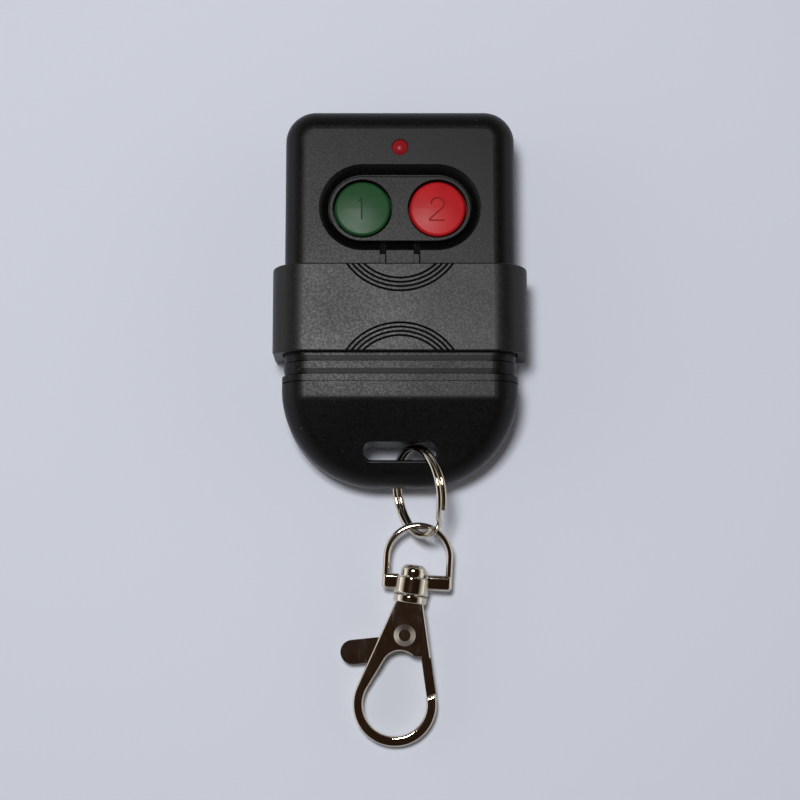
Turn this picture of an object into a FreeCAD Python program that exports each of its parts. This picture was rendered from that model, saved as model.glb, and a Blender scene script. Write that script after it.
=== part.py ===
import FreeCAD, Part
import os
from math import asin, atan2, cos, hypot, pi, radians, sin, sqrt, tan

V = FreeCAD.Vector
X_AXIS, Y_AXIS, Z_AXIS = V(1, 0, 0), V(0, 1, 0), V(0, 0, 1)

# Two-button gate remote on its key ring, lying on its back. Millimetres.
# Origin: middle of the flat back, at half the length of the case.
# +X to the red button, +Y to the lamp end, +Z out of the button face.

# How near an edge must be to a place to be picked there
TINY = 1e-6
NEAR = 0.01

# Case, both shells together
CASE_LENGTH = 61.3
CASE_WIDTH = 37.3
CASE_DEPTH = 13.6
CASE_CORNER = 5.0
FRONT_ROUND = 3.6
BACK_ROUND = 1.0
WALL = 1.8
FACE_WALL = 1.5
FLOOR = 1.8
SEAM_LIP_WIDTH = 0.8
SEAM_LIP_HEIGHT = 1.0
SEAM_GAP = 0.1
OVERRUN = 5.0
ROOT = 0.1

# Tail of the case, below the sliding cover
TAIL_LENGTH = 20.75
TAIL_PROUD = 0.35
TAIL_STRAIGHT = 0.5
TAIL_ROUND = 4.0
TAIL_BACK_ROUND = 1.4
VALLEY_COUNT = 2
VALLEY_PITCH = 2.1
VALLEY_START = 1.2
VALLEY_INSETS = (0.25, 0.5)
CREST_INSETS = (0.1, 0.3)
RIB_SLOPE = 0.9
RIB_WALL = 0.1
SCORE_WIDTH = 0.2
SCORE_DEPTH = 0.3
SCORE_DROP = 1.2
BAND_LENGTH = 7.1
BAND_LAND = 0.4
SLOPE_DROP = 5.4
CREASE_ROUND = 3.0
HEEL_FROM_CREASE = 3.65
HEEL_RISE = 3.7
HEEL_ROUND = 12.0
CAVITY_TAIL_CORNER = 6.0

# Key slot and the bar below it
SLOT_LENGTH = 11.9
SLOT_WIDTH = 2.8
SLOT_BAR = 4.1
SLOT_ROUND = 0.4
SLOT_BACK_ROUND = 1.7
SLOT_WALL = 2.3

# Button field
BUTTONS_FROM_TOP = 16.9
BUTTON_SPACING = 12.1
BUTTON_DIAMETER = 9.0
BUTTON_GAP = 0.35
BUTTON_EDGE = 0.5
BUTTON_DOME = 0.35
BUTTON_PROUD = 0.15
BUTTON_FLANGE = 0.8
BUTTON_FLANGE_THICKNESS = 0.5
BUTTON_LIFT = 0.1
NUMERAL_HEIGHT = 3.7
NUMERAL_WIDTH = 2.3
NUMERAL_STROKE = 0.5
NUMERAL_DEPTH = 0.2
MOAT_LENGTH = 26.2
MOAT_WIDTH = 14.3
MOAT_DEPTH = 1.3
MOAT_SLANT = 1.5
MOAT_RAISE = 0.25
PLATFORM_LENGTH = 23.0
PLATFORM_WIDTH = 10.8
PLATFORM_EDGE = 0.2
FIELD_BACKING = 1.3

# Lamp
LAMP_FROM_TOP = 6.65
LAMP_DIAMETER = 2.6
LAMP_GAP = 0.05
LAMP_PROUD = 0.3
LAMP_DOME = 0.5
LAMP_BODY_HEIGHT = 5.3
LAMP_FLANGE = 0.4
LAMP_FLANGE_HEIGHT = 1.0

# Sliding cover
COVER_LENGTH = 14.4
COVER_SIDE = 1.65
COVER_PLATE = 1.05
COVER_SIDE_GAP = 0.3
COVER_FACE_GAP = 0.25
COVER_END_GAP = 0.1
COVER_OUTER_ROUND = 5.5
COVER_BACK_ROUND = 1.2
COVER_BACK_CORNER = 1.0
COVER_DRAFT = 0.55
COVER_CORNER = 1.0
COVER_CORNER_OUT = 0.06
COVER_EDGE = 0.25
COVER_HEM_LIFT = 0.3
COVER_HEM_THICKNESS = 0.9
COVER_HEM_REACH = 1.2
GRIP_COUNT = 4
GRIP_PITCH = 0.69
GRIP_RADIUS = 10.4
GRIP_CENTRE_OUT = 5.8
GRIP_WIDTH = 0.36
GRIP_DEPTH = 0.35

# Click tracks in the face, and the nibs of the cover that run in them
TRACK_SPACING = 5.45
TRACK_WIDTH = 1.1
TRACK_DEPTH = 0.65
TRACK_RAMP = 0.5
TRACK_MOUTH_STEP = 0.1
TRACK_SLIT_WIDTH = 0.22
TRACK_SLIT_DEPTH = 0.95
NIB_WIDTH = 0.8
NIB_LENGTH = 0.9
NIB_HEIGHT = 0.65
NIB_FROM_EDGE = 0.5
NIB_STOP_GAP = 0.15

# Case screws
SCREW_DIAMETER = 2.0
SCREW_LENGTH = 7.0
SCREW_HEAD_DIAMETER = 3.6
SCREW_HEAD_HEIGHT = 1.3
SCREW_HEAD_SUNK = 0.7
SCREW_GAP = 0.15
SCREW_BITE_GAP = 0.02
SCREW_RECESS_WIDTH = 0.5
SCREW_RECESS_DEPTH = 0.7
BOSS_WALL = 1.4
SCREW_FROM_SIDE = 5.3
SCREW_FROM_TOP = 5.1

# Circuit board
BOARD_THICKNESS = 1.2
BOARD_FROM_TAIL = 3.2
BOARD_GAP = 0.5
BOARD_CORNER = 1.5
PIN_HOLE_RADIUS = 0.5
PIN_RADIUS = 0.3
PIN_TAIL = 1.0
SMALL_GAP = 0.02
ANTENNA_WIDTH = 1.0
ANTENNA_THICKNESS = 0.1
ANTENNA_FROM_SIDE = 4.6
ANTENNA_MARGIN = 0.3
ANTENNA_FEED_GAP = 3.0
POST_RADIUS = 1.2

# Push switches under the buttons
SWITCH_SIZE = 6.0
SWITCH_HEIGHT = 3.5
SWITCH_PLATE = 0.2
SWITCH_PLUNGER_DIAMETER = 3.4
SWITCH_PLUNGER_GAP = 0.08
SWITCH_PLUNGER_PROUD = 0.8
SWITCH_PLUNGER_DEPTH = 0.7
SWITCH_BORE_SPARE = 0.3
SWITCH_PIN_SPREAD = 4.5

# Code switch with eight levers
CODE_LENGTH = 22.2
CODE_WIDTH = 9.7
CODE_HEIGHT = 5.3
CODE_ROOM = 0.6
CODE_PITCH = 2.54
CODE_COUNT = 8
CODE_ROW_SPREAD = 7.62
CODE_WELL_LENGTH = 3.4
CODE_WELL_WIDTH = 1.5
CODE_WELL_DEPTH = 1.6
CODE_LEVER_LENGTH = 1.5
CODE_LEVER_WIDTH = 1.1
CODE_LEVER_GAP = 0.1
CODE_LEVER_SUNK = 0.2
CODE_FROM_BOARD_END = 0.5

# Chips and small parts on the board
CHIP_LENGTH = 11.5
CHIP_CLEARANCE = 0.38
CHIP_FLOOR_GAP = 0.9
CHIP_STANDOFF = 0.1
CHIP_PIN_COUNT = 9
CHIP_PIN_PITCH = 1.27
CHIP_PIN_OUT = 0.8
CHIP_PIN_WIDTH = 0.4
CHIP_PIN_THICKNESS = 0.2
PARTS_BELOW_LAMP = 1.1
RESONATOR_LEG_SPREAD = 1.8
RESONATOR_BOSS_GAP = 0.05
RESONATOR_LEG_GAP = 0.33
RESONATOR_FLANGE = 0.4
RESONATOR_FLANGE_HEIGHT = 0.4
RESONATOR_HEIGHT = 3.2
RESONATOR_ROUND = 0.4
TRIMMER_DIAMETER = 5.0
TRIMMER_HEIGHT = 2.4
TRIMMER_SLOT_WIDTH = 0.6
TRIMMER_SLOT_DEPTH = 0.5
TRANSISTOR_SIZE = (2.9, 1.3, 1.0)
RESISTOR_SIZE = (2.0, 1.25, 0.6)
RESISTOR_COUNT = 6
RESISTOR_PITCH = 4.0
CAPACITOR_SIZE = (1.25, 2.0, 0.9)
CAPACITOR_COUNT = 3
CAPACITOR_PITCH = 3.4
CAPACITOR_FROM_SWITCH = 2.2

# Battery, lying across the case, and its contacts
CELL_DIAMETER = 8.0
CELL_NUB_LENGTH = 0.9
CELL_NUB_DIAMETER = 3.3
CELL_EDGE = 0.4
CELL_FROM_TAIL_TOP = 2.1
CELL_FLOOR_GAP = 0.3
CRADLE_THICKNESS = 1.6
CRADLE_LENGTH = 6.0
CONTACT_BACKING = 1.3
CONTACT_THICKNESS = 0.3
CONTACT_WIDTH = 6.0
CONTACT_RISE = 3.0
CONTACT_FOOT = 2.2
CONTACT_FOOT_INSET = 0.2
SPRING_LENGTH = 2.3
SPRING_RADIUS = 2.2
SPRING_WIRE = 0.4
SPRING_TURNS = 3

# Split ring
RING_OUTER_DIAMETER = 15.1
RING_WIRE = 0.85
RING_PITCH = 0.87
RING_KINK = 31.0
RING_END_ANGLE = -42.0
RING_LEAN = 14.5
RING_DIP = -6.0
RING_ROLL = 62.0
RING_CENTRE_X = 3.05
RING_CENTRE_DROP = 6.2
REST_GAP = 0.05

# Swivel bow
BOW_OUTER_WIDTH = 11.3
BOW_WIRE = 1.1
BOW_HEIGHT = 10.3
BOW_COLLAR_HEIGHT = 2.5
BOW_COLLAR_RISE = 1.9
BOW_COLLAR_THICKNESS = 1.7
BOW_COLLAR_END_ROUND = 0.8
BOW_COLLAR_EDGE = 0.6
BOW_WIRE_END = 0.3
BOW_EYE_EDGE = 0.3
BOW_HEAD_GAP = 0.4
BOW_NECK_GAP = 0.3
BOW_EYE_DIAMETER = 5.7
BOW_EYE_HEIGHT = 2.8
BOW_EYE_OFFSET = 0.8
BOW_LEAN = 3.0
BOW_RAISE = 7.5
BOW_HOOK_SIDE = -1.6
BOW_HOOK_SLACK = 0.6

# Clasp, measured along its own axis from the middle of the swivel eye
CLASP_LEAN = 8.3
CLASP_DIP = 3.9
CLASP_THICKNESS = 3.2
HOOK_THICKNESS = 2.4
NECK_DIAMETER = 5.4
NECK_HEIGHT = 1.3
NECK_GAP = 0.12
NECK_EDGE = 0.3
HOOK_REACH = 19.15
HOOK_OUTER_RADIUS = 6.75
HOOK_INNER_RADIUS = 5.1
EYE_TOP_RADIUS = 2.85
EYE_TOP_REACH = 13.4
SHOULDER_WIDTH = 4.4
GATE_TOP_REACH = 11.0
GATE_SWING_RADIUS = 10.6
GATE_WIDTH = 1.5
GATE_GAP = 0.15
CLASP_EDGE = 0.4
POST_SHANK_DIAMETER = 2.6
POST_SHANK_GAP = 0.08
POST_HEAD_DIAMETER = 4.1
POST_HEAD_HEIGHT = 1.9
POST_HEAD_DOME = 1.1
POST_DEPTH = 2.4
PIVOT_REACH = 8.0
PIVOT_DIAMETER = 2.0
PIVOT_GAP = 0.05
PIVOT_HEAD_DIAMETER = 3.5
PIVOT_HEAD_HEIGHT = 0.48
PIVOT_FLAT_DIAMETER = 1.9
FORK_SLOT = 2.0
FORK_TOP_REACH = 4.9
FORK_LEFT_REACH = 14.6
LEVER_THICKNESS = 1.2
LEVER_GAP = 0.1
LEVER_BOSS_RADIUS = 1.95
TAB_WIDTH = 3.9
TAB_END_X = -7.95
TAB_END_REACH = 11.9
TAB_TILT = 14.0
COIL_WIRE = 0.2
COIL_TURNS = 2
COIL_RADIUS = 1.25
COIL_LEG = 2.2

# Places worked out from the sizes above
TOP_Y = CASE_LENGTH / 2
END_Y = -CASE_LENGTH / 2
TAIL_Y = END_Y + TAIL_LENGTH
TAIL_WIDTH = CASE_WIDTH + 2 * TAIL_PROUD
VALLEY_SPOTS = [TAIL_Y - VALLEY_START - i * VALLEY_PITCH for i in range(VALLEY_COUNT)]
SCORE_Y = VALLEY_SPOTS[-1] - SCORE_DROP
BAND_END_Y = SCORE_Y - BAND_LAND
TAIL_CORNER = BAND_END_Y - END_Y - TAIL_STRAIGHT
SLOPE_LENGTH = TAIL_LENGTH - BAND_LENGTH
HEEL_LENGTH = SLOPE_LENGTH - HEEL_FROM_CREASE
CREASE_Y = END_Y + SLOPE_LENGTH
SLOT_Y = END_Y + SLOT_BAR + SLOT_WIDTH / 2
CAVITY_END_Y = SLOT_Y + SLOT_WIDTH / 2 + SLOT_WALL
BUTTON_Y = TOP_Y - BUTTONS_FROM_TOP
LAMP_Y = TOP_Y - LAMP_FROM_TOP
CEILING_Z = CASE_DEPTH - FACE_WALL
FIELD_UNDER_Z = CASE_DEPTH - MOAT_DEPTH - FIELD_BACKING + BUTTON_LIFT
HALF_CAVITY = CASE_WIDTH / 2 - WALL
COVER_LOW_Y = TAIL_Y + COVER_END_GAP
COVER_HIGH_Y = COVER_LOW_Y + COVER_LENGTH
COVER_INNER_HALF = CASE_WIDTH / 2 + COVER_SIDE_GAP
COVER_MOUTH_HALF = COVER_INNER_HALF - COVER_HEM_REACH
COVER_HALF = COVER_INNER_HALF + COVER_SIDE
COVER_INNER_Z = CASE_DEPTH + COVER_FACE_GAP
COVER_TOP_Z = COVER_INNER_Z + COVER_PLATE
NIB_LOW_Y = COVER_LOW_Y + NIB_FROM_EDGE
TRACK_LOW_Y = NIB_LOW_Y - COVER_END_GAP
MOAT_RIM_Y = BUTTON_Y + MOAT_RAISE - MOAT_WIDTH / 2
COVER_TRAVEL = BUTTON_Y - PLATFORM_WIDTH / 2 - NIB_STOP_GAP - NIB_LOW_Y - NIB_LENGTH
BOARD_TOP_Z = CEILING_Z - CODE_ROOM - CODE_HEIGHT
BOARD_UNDER_Z = BOARD_TOP_Z - BOARD_THICKNESS
SEAM_HEIGHT = BOARD_UNDER_Z
BOARD_END_Y = TAIL_Y + BOARD_FROM_TAIL
SWITCH_TOP_Z = BOARD_TOP_Z + SWITCH_HEIGHT
PLUNGER_TOP_Z = SWITCH_TOP_Z + SWITCH_PLUNGER_PROUD
SCREW_X = CASE_WIDTH / 2 - SCREW_FROM_SIDE
SCREW_TOP_Y = TOP_Y - SCREW_FROM_TOP
BOSS_RADIUS = SCREW_DIAMETER / 2 + BOSS_WALL
TAIL_SCREW_Y = CAVITY_END_Y + BOSS_RADIUS - ROOT
SCREW_SPOTS = [(-SCREW_X, SCREW_TOP_Y), (SCREW_X, SCREW_TOP_Y), (0, TAIL_SCREW_Y)]
COUNTERBORE_RADIUS = SCREW_HEAD_DIAMETER / 2 + SCREW_GAP
COUNTERBORE_DEPTH = SCREW_HEAD_SUNK + SCREW_HEAD_HEIGHT
CELL_Y = TAIL_Y - CELL_FROM_TAIL_TOP
CELL_Z = FLOOR + CELL_FLOOR_GAP + CELL_DIAMETER / 2
CONTACT_PLUS_X = HALF_CAVITY - CONTACT_BACKING - CONTACT_THICKNESS
CONTACT_MINUS_X = -CONTACT_PLUS_X
CELL_MINUS_X = CONTACT_MINUS_X + SPRING_LENGTH
CELL_LENGTH = CONTACT_PLUS_X - CELL_MINUS_X
CODE_Y = BOARD_END_Y + CODE_FROM_BOARD_END + CODE_WIDTH / 2
CODE_TOP_Z = BOARD_TOP_Z + CODE_HEIGHT
SWITCH_PIN_OUT = SWITCH_SIZE / 2 + PIN_RADIUS + SMALL_GAP
CHIP_LOW_Y = CODE_Y + CODE_ROW_SPREAD / 2 + PIN_RADIUS + CHIP_CLEARANCE
CHIP_HIGH_Y = BUTTON_Y - SWITCH_PIN_OUT - PIN_RADIUS - CHIP_CLEARANCE
CHIP_Y = (CHIP_LOW_Y + CHIP_HIGH_Y) / 2
CHIP_HALF_WIDTH = (CHIP_HIGH_Y - CHIP_LOW_Y) / 2 - CHIP_PIN_OUT
CHIP_TOP_Z = BOARD_UNDER_Z - CHIP_STANDOFF
CHIP_HEIGHT = CHIP_TOP_Z - FLOOR - CHIP_FLOOR_GAP
PARTS_Y = LAMP_Y - PARTS_BELOW_LAMP
RESONATOR_OUTER_X = SCREW_X - BOSS_RADIUS - RESONATOR_BOSS_GAP
RESONATOR_INNER_X = CODE_PITCH / 2 + PIN_RADIUS + RESONATOR_LEG_GAP
RESONATOR_DIAMETER = RESONATOR_OUTER_X - RESONATOR_INNER_X - 2 * RESONATOR_FLANGE
RESONATOR_OFFSET = (RESONATOR_OUTER_X + RESONATOR_INNER_X) / 2
RING_RADIUS = (RING_OUTER_DIAMETER - RING_WIRE) / 2
SWIVEL_Z = BOW_EYE_DIAMETER / 2 + 3 * REST_GAP
CLASP_SPAN = 2 * HOOK_REACH


def box(x0, x1, y0, y1, z0, z1):
    """Block between two corners."""
    return Part.makeBox(x1 - x0, y1 - y0, z1 - z0, V(x0, y0, z0))


def rod(radius, x, y, z0, z1):
    """Upright cylinder from z0 to z1."""
    return Part.makeCylinder(radius, z1 - z0, V(x, y, z0))


def ball(radius, centre):
    """Sphere with its poles on the X axis, clear of what is cut into its top."""
    return Part.makeSphere(radius, centre, X_AXIS)


def ring_groove(radius, width, depth, centre):
    """V-shaped round groove, cut down from a flat face at the height of its centre."""
    half = width / 2
    above = half * (1 + OVERRUN / depth)
    corners = [V(radius - above, 0, OVERRUN), V(radius, 0, -depth), V(radius + above, 0, OVERRUN)]
    section = Part.Face(Part.makePolygon([centre + corner for corner in corners + corners[:1]]))
    return section.revolve(centre, Z_AXIS, 360)


def dome_radius(radius, rise):
    """Radius of the sphere whose cap has a given rim radius and rise."""
    return (radius ** 2 + rise ** 2) / (2 * rise)


def fused(shapes):
    """Union of a list of solids, with shared faces cleaned up."""
    result = shapes[0]
    if len(shapes) > 1:
        result = result.multiFuse(shapes[1:])
    return result.removeSplitter()


def cut_all(shape, tools):
    """The shape with every tool taken away."""
    for tool in tools:
        shape = shape.cut(tool)
    return shape


def mirrored_pair(shape):
    """A shape and its twin on the other side of the YZ plane."""
    return [shape, shape.mirror(V(0, 0, 0), X_AXIS)]


def lines(points):
    """Closed wire of straight edges."""
    return Part.makePolygon([V(*p) for p in points] + [V(*points[0])])


def prism(wire, direction):
    """Solid swept from a flat closed wire."""
    return Part.Face(wire).extrude(direction)


def corner_arc(before, corner, after, radius):
    """Arc that rounds a right-angled corner, as an edge with its two ends."""
    back = (before - corner).normalize()
    ahead = (after - corner).normalize()
    start = corner + back * radius
    end = corner + ahead * radius
    middle = corner + (back + ahead) * (radius * (1 - sqrt(0.5)))
    return Part.Arc(start, middle, end).toShape(), start, end


def rounded_wire(corners, radii):
    """Closed wire through right-angled corners, each with its own radius."""
    edges = []
    ends = []
    count = len(corners)
    for i, corner in enumerate(corners):
        if radii[i] > 0:
            arc, start, end = corner_arc(corners[i - 1], corner, corners[(i + 1) % count], radii[i])
            edges.append(arc)
            ends.append((start, end))
        else:
            ends.append((corner, corner))
    for i in range(count):
        start = ends[i][1]
        end = ends[(i + 1) % count][0]
        if start.distanceToPoint(end) > TINY:
            edges.append(Part.LineSegment(start, end).toShape())
    return Part.Wire(Part.__sortEdges__(edges))


def plan_wire(half_x, y0, y1, radius_low, radius_high, z):
    """Rectangle in plan with one radius at the low end and one at the high end."""
    corners = [V(-half_x, y0, z), V(half_x, y0, z), V(half_x, y1, z), V(-half_x, y1, z)]
    return rounded_wire(corners, [radius_low, radius_low, radius_high, radius_high])


def stadium_wire(length, width, y, z):
    """Slot shape along X with full round ends."""
    straight = (length - width) / 2
    r = width / 2
    edges = [Part.LineSegment(V(-straight, y - r, z), V(straight, y - r, z)).toShape()]
    edges.append(Part.Arc(V(straight, y - r, z), V(straight + r, y, z), V(straight, y + r, z)).toShape())
    edges.append(Part.LineSegment(V(straight, y + r, z), V(-straight, y + r, z)).toShape())
    edges.append(Part.Arc(V(-straight, y + r, z), V(-straight - r, y, z), V(-straight, y - r, z)).toShape())
    return Part.Wire(edges)


def stadium_block(length, width, y, z0, z1):
    """Upright solid with a slot-shaped plan."""
    return prism(stadium_wire(length, width, y, z0), V(0, 0, z1 - z0))


def rounded(shape, radius, wanted):
    """Round the edges for which wanted(bounding box) is true."""
    edges = [edge for edge in shape.Edges if wanted(edge.BoundBox)]
    return shape.makeFillet(radius, edges)


def arc_between(start, tangent, end):
    """Circular arc that leaves start along a unit tangent and reaches end."""
    chord = end - start
    along = chord.dot(tangent)
    side = chord - tangent * along
    if side.Length < 1e-9:
        return Part.LineSegment(start, end).toShape()
    side.normalize()
    half = atan2((chord - tangent * along).Length, along)
    radius = chord.Length / (2 * sin(half))
    middle = start + tangent * (radius * sin(half)) + side * (radius * (1 - cos(half)))
    return Part.Arc(start, middle, end).toShape()


def biarc(start, start_tangent, end, end_tangent):
    """Two arcs that join two points with the given unit tangents."""
    chord = end - start
    both = start_tangent + end_tangent
    spread = 2 * (1 - start_tangent.dot(end_tangent))
    product = chord.dot(both)
    if spread < 1e-9:
        reach = chord.dot(chord) / (2 * product)
    else:
        reach = (-product + sqrt(product * product + spread * chord.dot(chord))) / spread
    joint = (start + start_tangent * reach + end - end_tangent * reach) * 0.5
    first = arc_between(start, start_tangent, joint)
    second = arc_between(end, end_tangent * -1, joint)
    return [first, second]


def helix_path(radius, pitch, turns, start_angle=0.0):
    """Edges of a helix about Z, a biarc for each quarter turn."""
    step = pi / 2
    rise = pitch / (2 * pi)
    scale = 1 / hypot(radius, rise)

    def place(angle):
        return V(radius * cos(angle), radius * sin(angle), rise * (angle - start_angle))

    def heading(angle):
        return V(-radius * sin(angle), radius * cos(angle), rise) * scale

    edges = []
    for i in range(int(round(turns * 4))):
        a = start_angle + i * step
        edges += biarc(place(a), heading(a), place(a + step), heading(a + step))
    return edges


def pipe(edges, radius):
    """Round wire or tube along a path of tangent edges."""
    path = Part.Wire(Part.__sortEdges__(edges))
    first = edges[0]
    start = first.valueAt(first.FirstParameter)
    heading = first.tangentAt(first.FirstParameter)
    section = Part.Wire(Part.makeCircle(radius, start, heading))
    return path.makePipeShell([section], True, False)


def rotation(steps):
    """Rotation made of turns about axes, in degrees, the last one applied first."""
    result = FreeCAD.Rotation()
    for axis, angle in steps:
        result = result.multiply(FreeCAD.Rotation(axis, angle))
    return result


def turned(shape, origin, steps):
    """Shape moved to origin after the turns in steps."""
    result = shape.copy()
    result.Placement = FreeCAD.Placement(origin, rotation(steps)).multiply(result.Placement)
    return result


# Case

def band_section(y, face_inset, side_inset):
    """Cross-section of the ribbed band at one place along the case."""
    half = TAIL_WIDTH / 2 - side_inset
    top = CASE_DEPTH - face_inset
    corners = [V(-half, y, 0), V(half, y, 0), V(half, y, top), V(-half, y, top)]
    return rounded_wire(corners, [TAIL_BACK_ROUND, TAIL_BACK_ROUND, TAIL_ROUND, TAIL_ROUND])


def ribbed_band():
    """Band of stepped ribs that the cover stops against."""
    stations = [(TAIL_Y, CREST_INSETS)]
    for valley in VALLEY_SPOTS:
        after = (0, 0) if valley == VALLEY_SPOTS[-1] else CREST_INSETS
        stations += [(valley + RIB_SLOPE, CREST_INSETS), (valley, VALLEY_INSETS)]
        stations.append((valley - RIB_WALL, after))
    stations.append((BAND_END_Y, (0, 0)))
    return Part.makeLoft([band_section(y, *insets) for y, insets in stations], True, True)


def score_line(y, insets):
    """Thin groove round the front and sides, below the outside by the insets."""
    half = SCORE_WIDTH / 2
    outside = box(-TAIL_WIDTH, TAIL_WIDTH, y - half, y + half, SEAM_HEIGHT / 2, CASE_DEPTH + 1)
    section = band_section(y - SCORE_WIDTH, insets[0] + SCORE_DEPTH, insets[1] + SCORE_DEPTH)
    return outside.cut(prism(section, V(0, 2 * SCORE_WIDTH, 0)))


def tail_plan():
    """Plan of the tail: straight sides and two large corner arcs."""
    half = TAIL_WIDTH / 2
    flat = half - TAIL_CORNER
    mid = TAIL_CORNER * sqrt(0.5)
    low = END_Y + TAIL_CORNER
    edges = [Part.LineSegment(V(half, BAND_END_Y, 0), V(-half, BAND_END_Y, 0)).toShape()]
    edges.append(Part.LineSegment(V(-half, BAND_END_Y, 0), V(-half, low, 0)).toShape())
    edges.append(Part.Arc(V(-half, low, 0), V(-flat - mid, low - mid, 0), V(-flat, END_Y, 0)).toShape())
    edges.append(Part.LineSegment(V(-flat, END_Y, 0), V(flat, END_Y, 0)).toShape())
    edges.append(Part.Arc(V(flat, END_Y, 0), V(flat + mid, low - mid, 0), V(half, low, 0)).toShape())
    edges.append(Part.LineSegment(V(half, low, 0), V(half, BAND_END_Y, 0)).toShape())
    return Part.Wire(edges)


def bend(before, corner, after, radius):
    """Arc that eases the corner between two straight runs, with its two ends."""
    back = (before - corner).normalize()
    ahead = (after - corner).normalize()
    half = back.getAngle(ahead) / 2
    start = corner + back * (radius / tan(half))
    end = corner + ahead * (radius / tan(half))
    inward = (back + ahead).normalize()
    middle = corner + inward * (radius / sin(half) - radius)
    return Part.Arc(start, middle, end).toShape(), start, end


def tail_profile():
    """Side view of the tail: flat face, crease, slope, end and rising heel."""
    x = -TAIL_WIDTH
    far = END_Y - OVERRUN
    fall = SLOPE_DROP / SLOPE_LENGTH
    climb = HEEL_RISE / HEEL_LENGTH
    heel_y = END_Y + HEEL_LENGTH
    front = V(x, BAND_END_Y, CASE_DEPTH)
    back = V(x, BAND_END_Y, 0)
    low = V(x, far, climb * (heel_y - far))
    high = V(x, far, CASE_DEPTH - fall * (CREASE_Y - far))
    crease, crease_start, crease_end = bend(front, V(x, CREASE_Y, CASE_DEPTH), high, CREASE_ROUND)
    heel, heel_start, heel_end = bend(low, V(x, heel_y, 0), back, HEEL_ROUND)
    edges = [Part.LineSegment(front, crease_start).toShape(), crease,
             Part.LineSegment(crease_end, high).toShape(), Part.LineSegment(high, low).toShape(),
             Part.LineSegment(low, heel_start).toShape(), heel,
             Part.LineSegment(heel_end, back).toShape(), Part.LineSegment(back, front).toShape()]
    return Part.Wire(edges)


def tail_end():
    """Solid end of the case with the sloping face."""
    plan = prism(tail_plan(), V(0, 0, CASE_DEPTH + 1))
    shape = plan.common(prism(tail_profile(), V(2 * TAIL_WIDTH, 0, 0)))
    middle = (CASE_DEPTH - SLOPE_DROP + HEEL_RISE) / 2
    side = TAIL_WIDTH / 2 - TAIL_CORNER

    def rim(bounds):
        upright = bounds.XLength < TINY and bounds.YLength < TINY
        start = bounds.YMin > BAND_END_Y - TINY
        across = bounds.XMin < -side - TINY and bounds.XMax > side + TINY
        return not (upright or start or across)

    shape = rounded(shape, TAIL_ROUND, lambda b: rim(b) and b.ZMin > middle)
    return rounded(shape, TAIL_BACK_ROUND, lambda b: rim(b) and b.ZMax < middle)


def case_block():
    """Whole outer form of the closed case."""
    half = CASE_WIDTH / 2
    upper = prism(plan_wire(half, TAIL_Y, TOP_Y, 0, CASE_CORNER, 0), V(0, 0, CASE_DEPTH))
    upper = rounded(upper, FRONT_ROUND, lambda b: b.ZMin > CASE_DEPTH - NEAR and b.YMax > TAIL_Y + NEAR)
    upper = rounded(upper, BACK_ROUND, lambda b: b.ZMax < NEAR and b.YMax > TAIL_Y + NEAR)
    return fused([upper, ribbed_band(), tail_end()])


def case_slice(block, z0, z1):
    """Part of the case between two heights."""
    return block.common(box(-CASE_WIDTH, CASE_WIDTH, -CASE_LENGTH, CASE_LENGTH, z0, z1))


def cavity_block(grow, z0, z1):
    """Plan of the hollow inside, larger by grow all round."""
    wire = plan_wire(HALF_CAVITY + grow, CAVITY_END_Y - grow, TOP_Y - WALL + grow,
                     CAVITY_TAIL_CORNER + grow, CASE_CORNER - WALL + grow, z0)
    return prism(wire, V(0, 0, z1 - z0))


def cavity():
    """Hollow inside the case, with a ceiling that follows the slope."""
    fall = SLOPE_DROP / SLOPE_LENGTH
    y = END_Y
    x = -TAIL_WIDTH
    side = [(x, TOP_Y, FLOOR), (x, TOP_Y, CEILING_Z), (x, CREASE_Y, CEILING_Z),
            (x, y, CEILING_Z - fall * (CREASE_Y - y)), (x, y, FLOOR)]
    return cavity_block(0, 0, CASE_DEPTH).common(prism(lines(side), V(2 * TAIL_WIDTH, 0, 0)))


def key_slot():
    """Cutter for the key slot through both shells."""
    return stadium_block(SLOT_LENGTH, SLOT_WIDTH, SLOT_Y, -1, CASE_DEPTH + 1)


def slot_edges(bounds):
    """True for the rim edges of the key slot on a face."""
    inside = abs(bounds.XMin) < SLOT_LENGTH / 2 + NEAR and abs(bounds.XMax) < SLOT_LENGTH / 2 + NEAR
    near = SLOT_Y - SLOT_WIDTH / 2 - NEAR < bounds.YMin and bounds.YMax < SLOT_Y + SLOT_WIDTH / 2 + NEAR
    return inside and near


def moat():
    """Ring-shaped hollow round the button platform."""
    low = CASE_DEPTH - MOAT_DEPTH
    over = 0.2
    flare = 2 * MOAT_SLANT * over / MOAT_DEPTH
    y = BUTTON_Y + MOAT_RAISE
    floor = stadium_wire(MOAT_LENGTH - 2 * MOAT_SLANT, MOAT_WIDTH - 2 * MOAT_SLANT, y, low)
    rim = stadium_wire(MOAT_LENGTH + flare, MOAT_WIDTH + flare, y, CASE_DEPTH + over)
    island = stadium_block(PLATFORM_LENGTH, PLATFORM_WIDTH, BUTTON_Y, low - 1, CASE_DEPTH)
    island = rounded(island, PLATFORM_EDGE, lambda b: b.ZMin > CASE_DEPTH - NEAR)
    return Part.makeLoft([floor, rim], True, True).cut(island)


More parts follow.
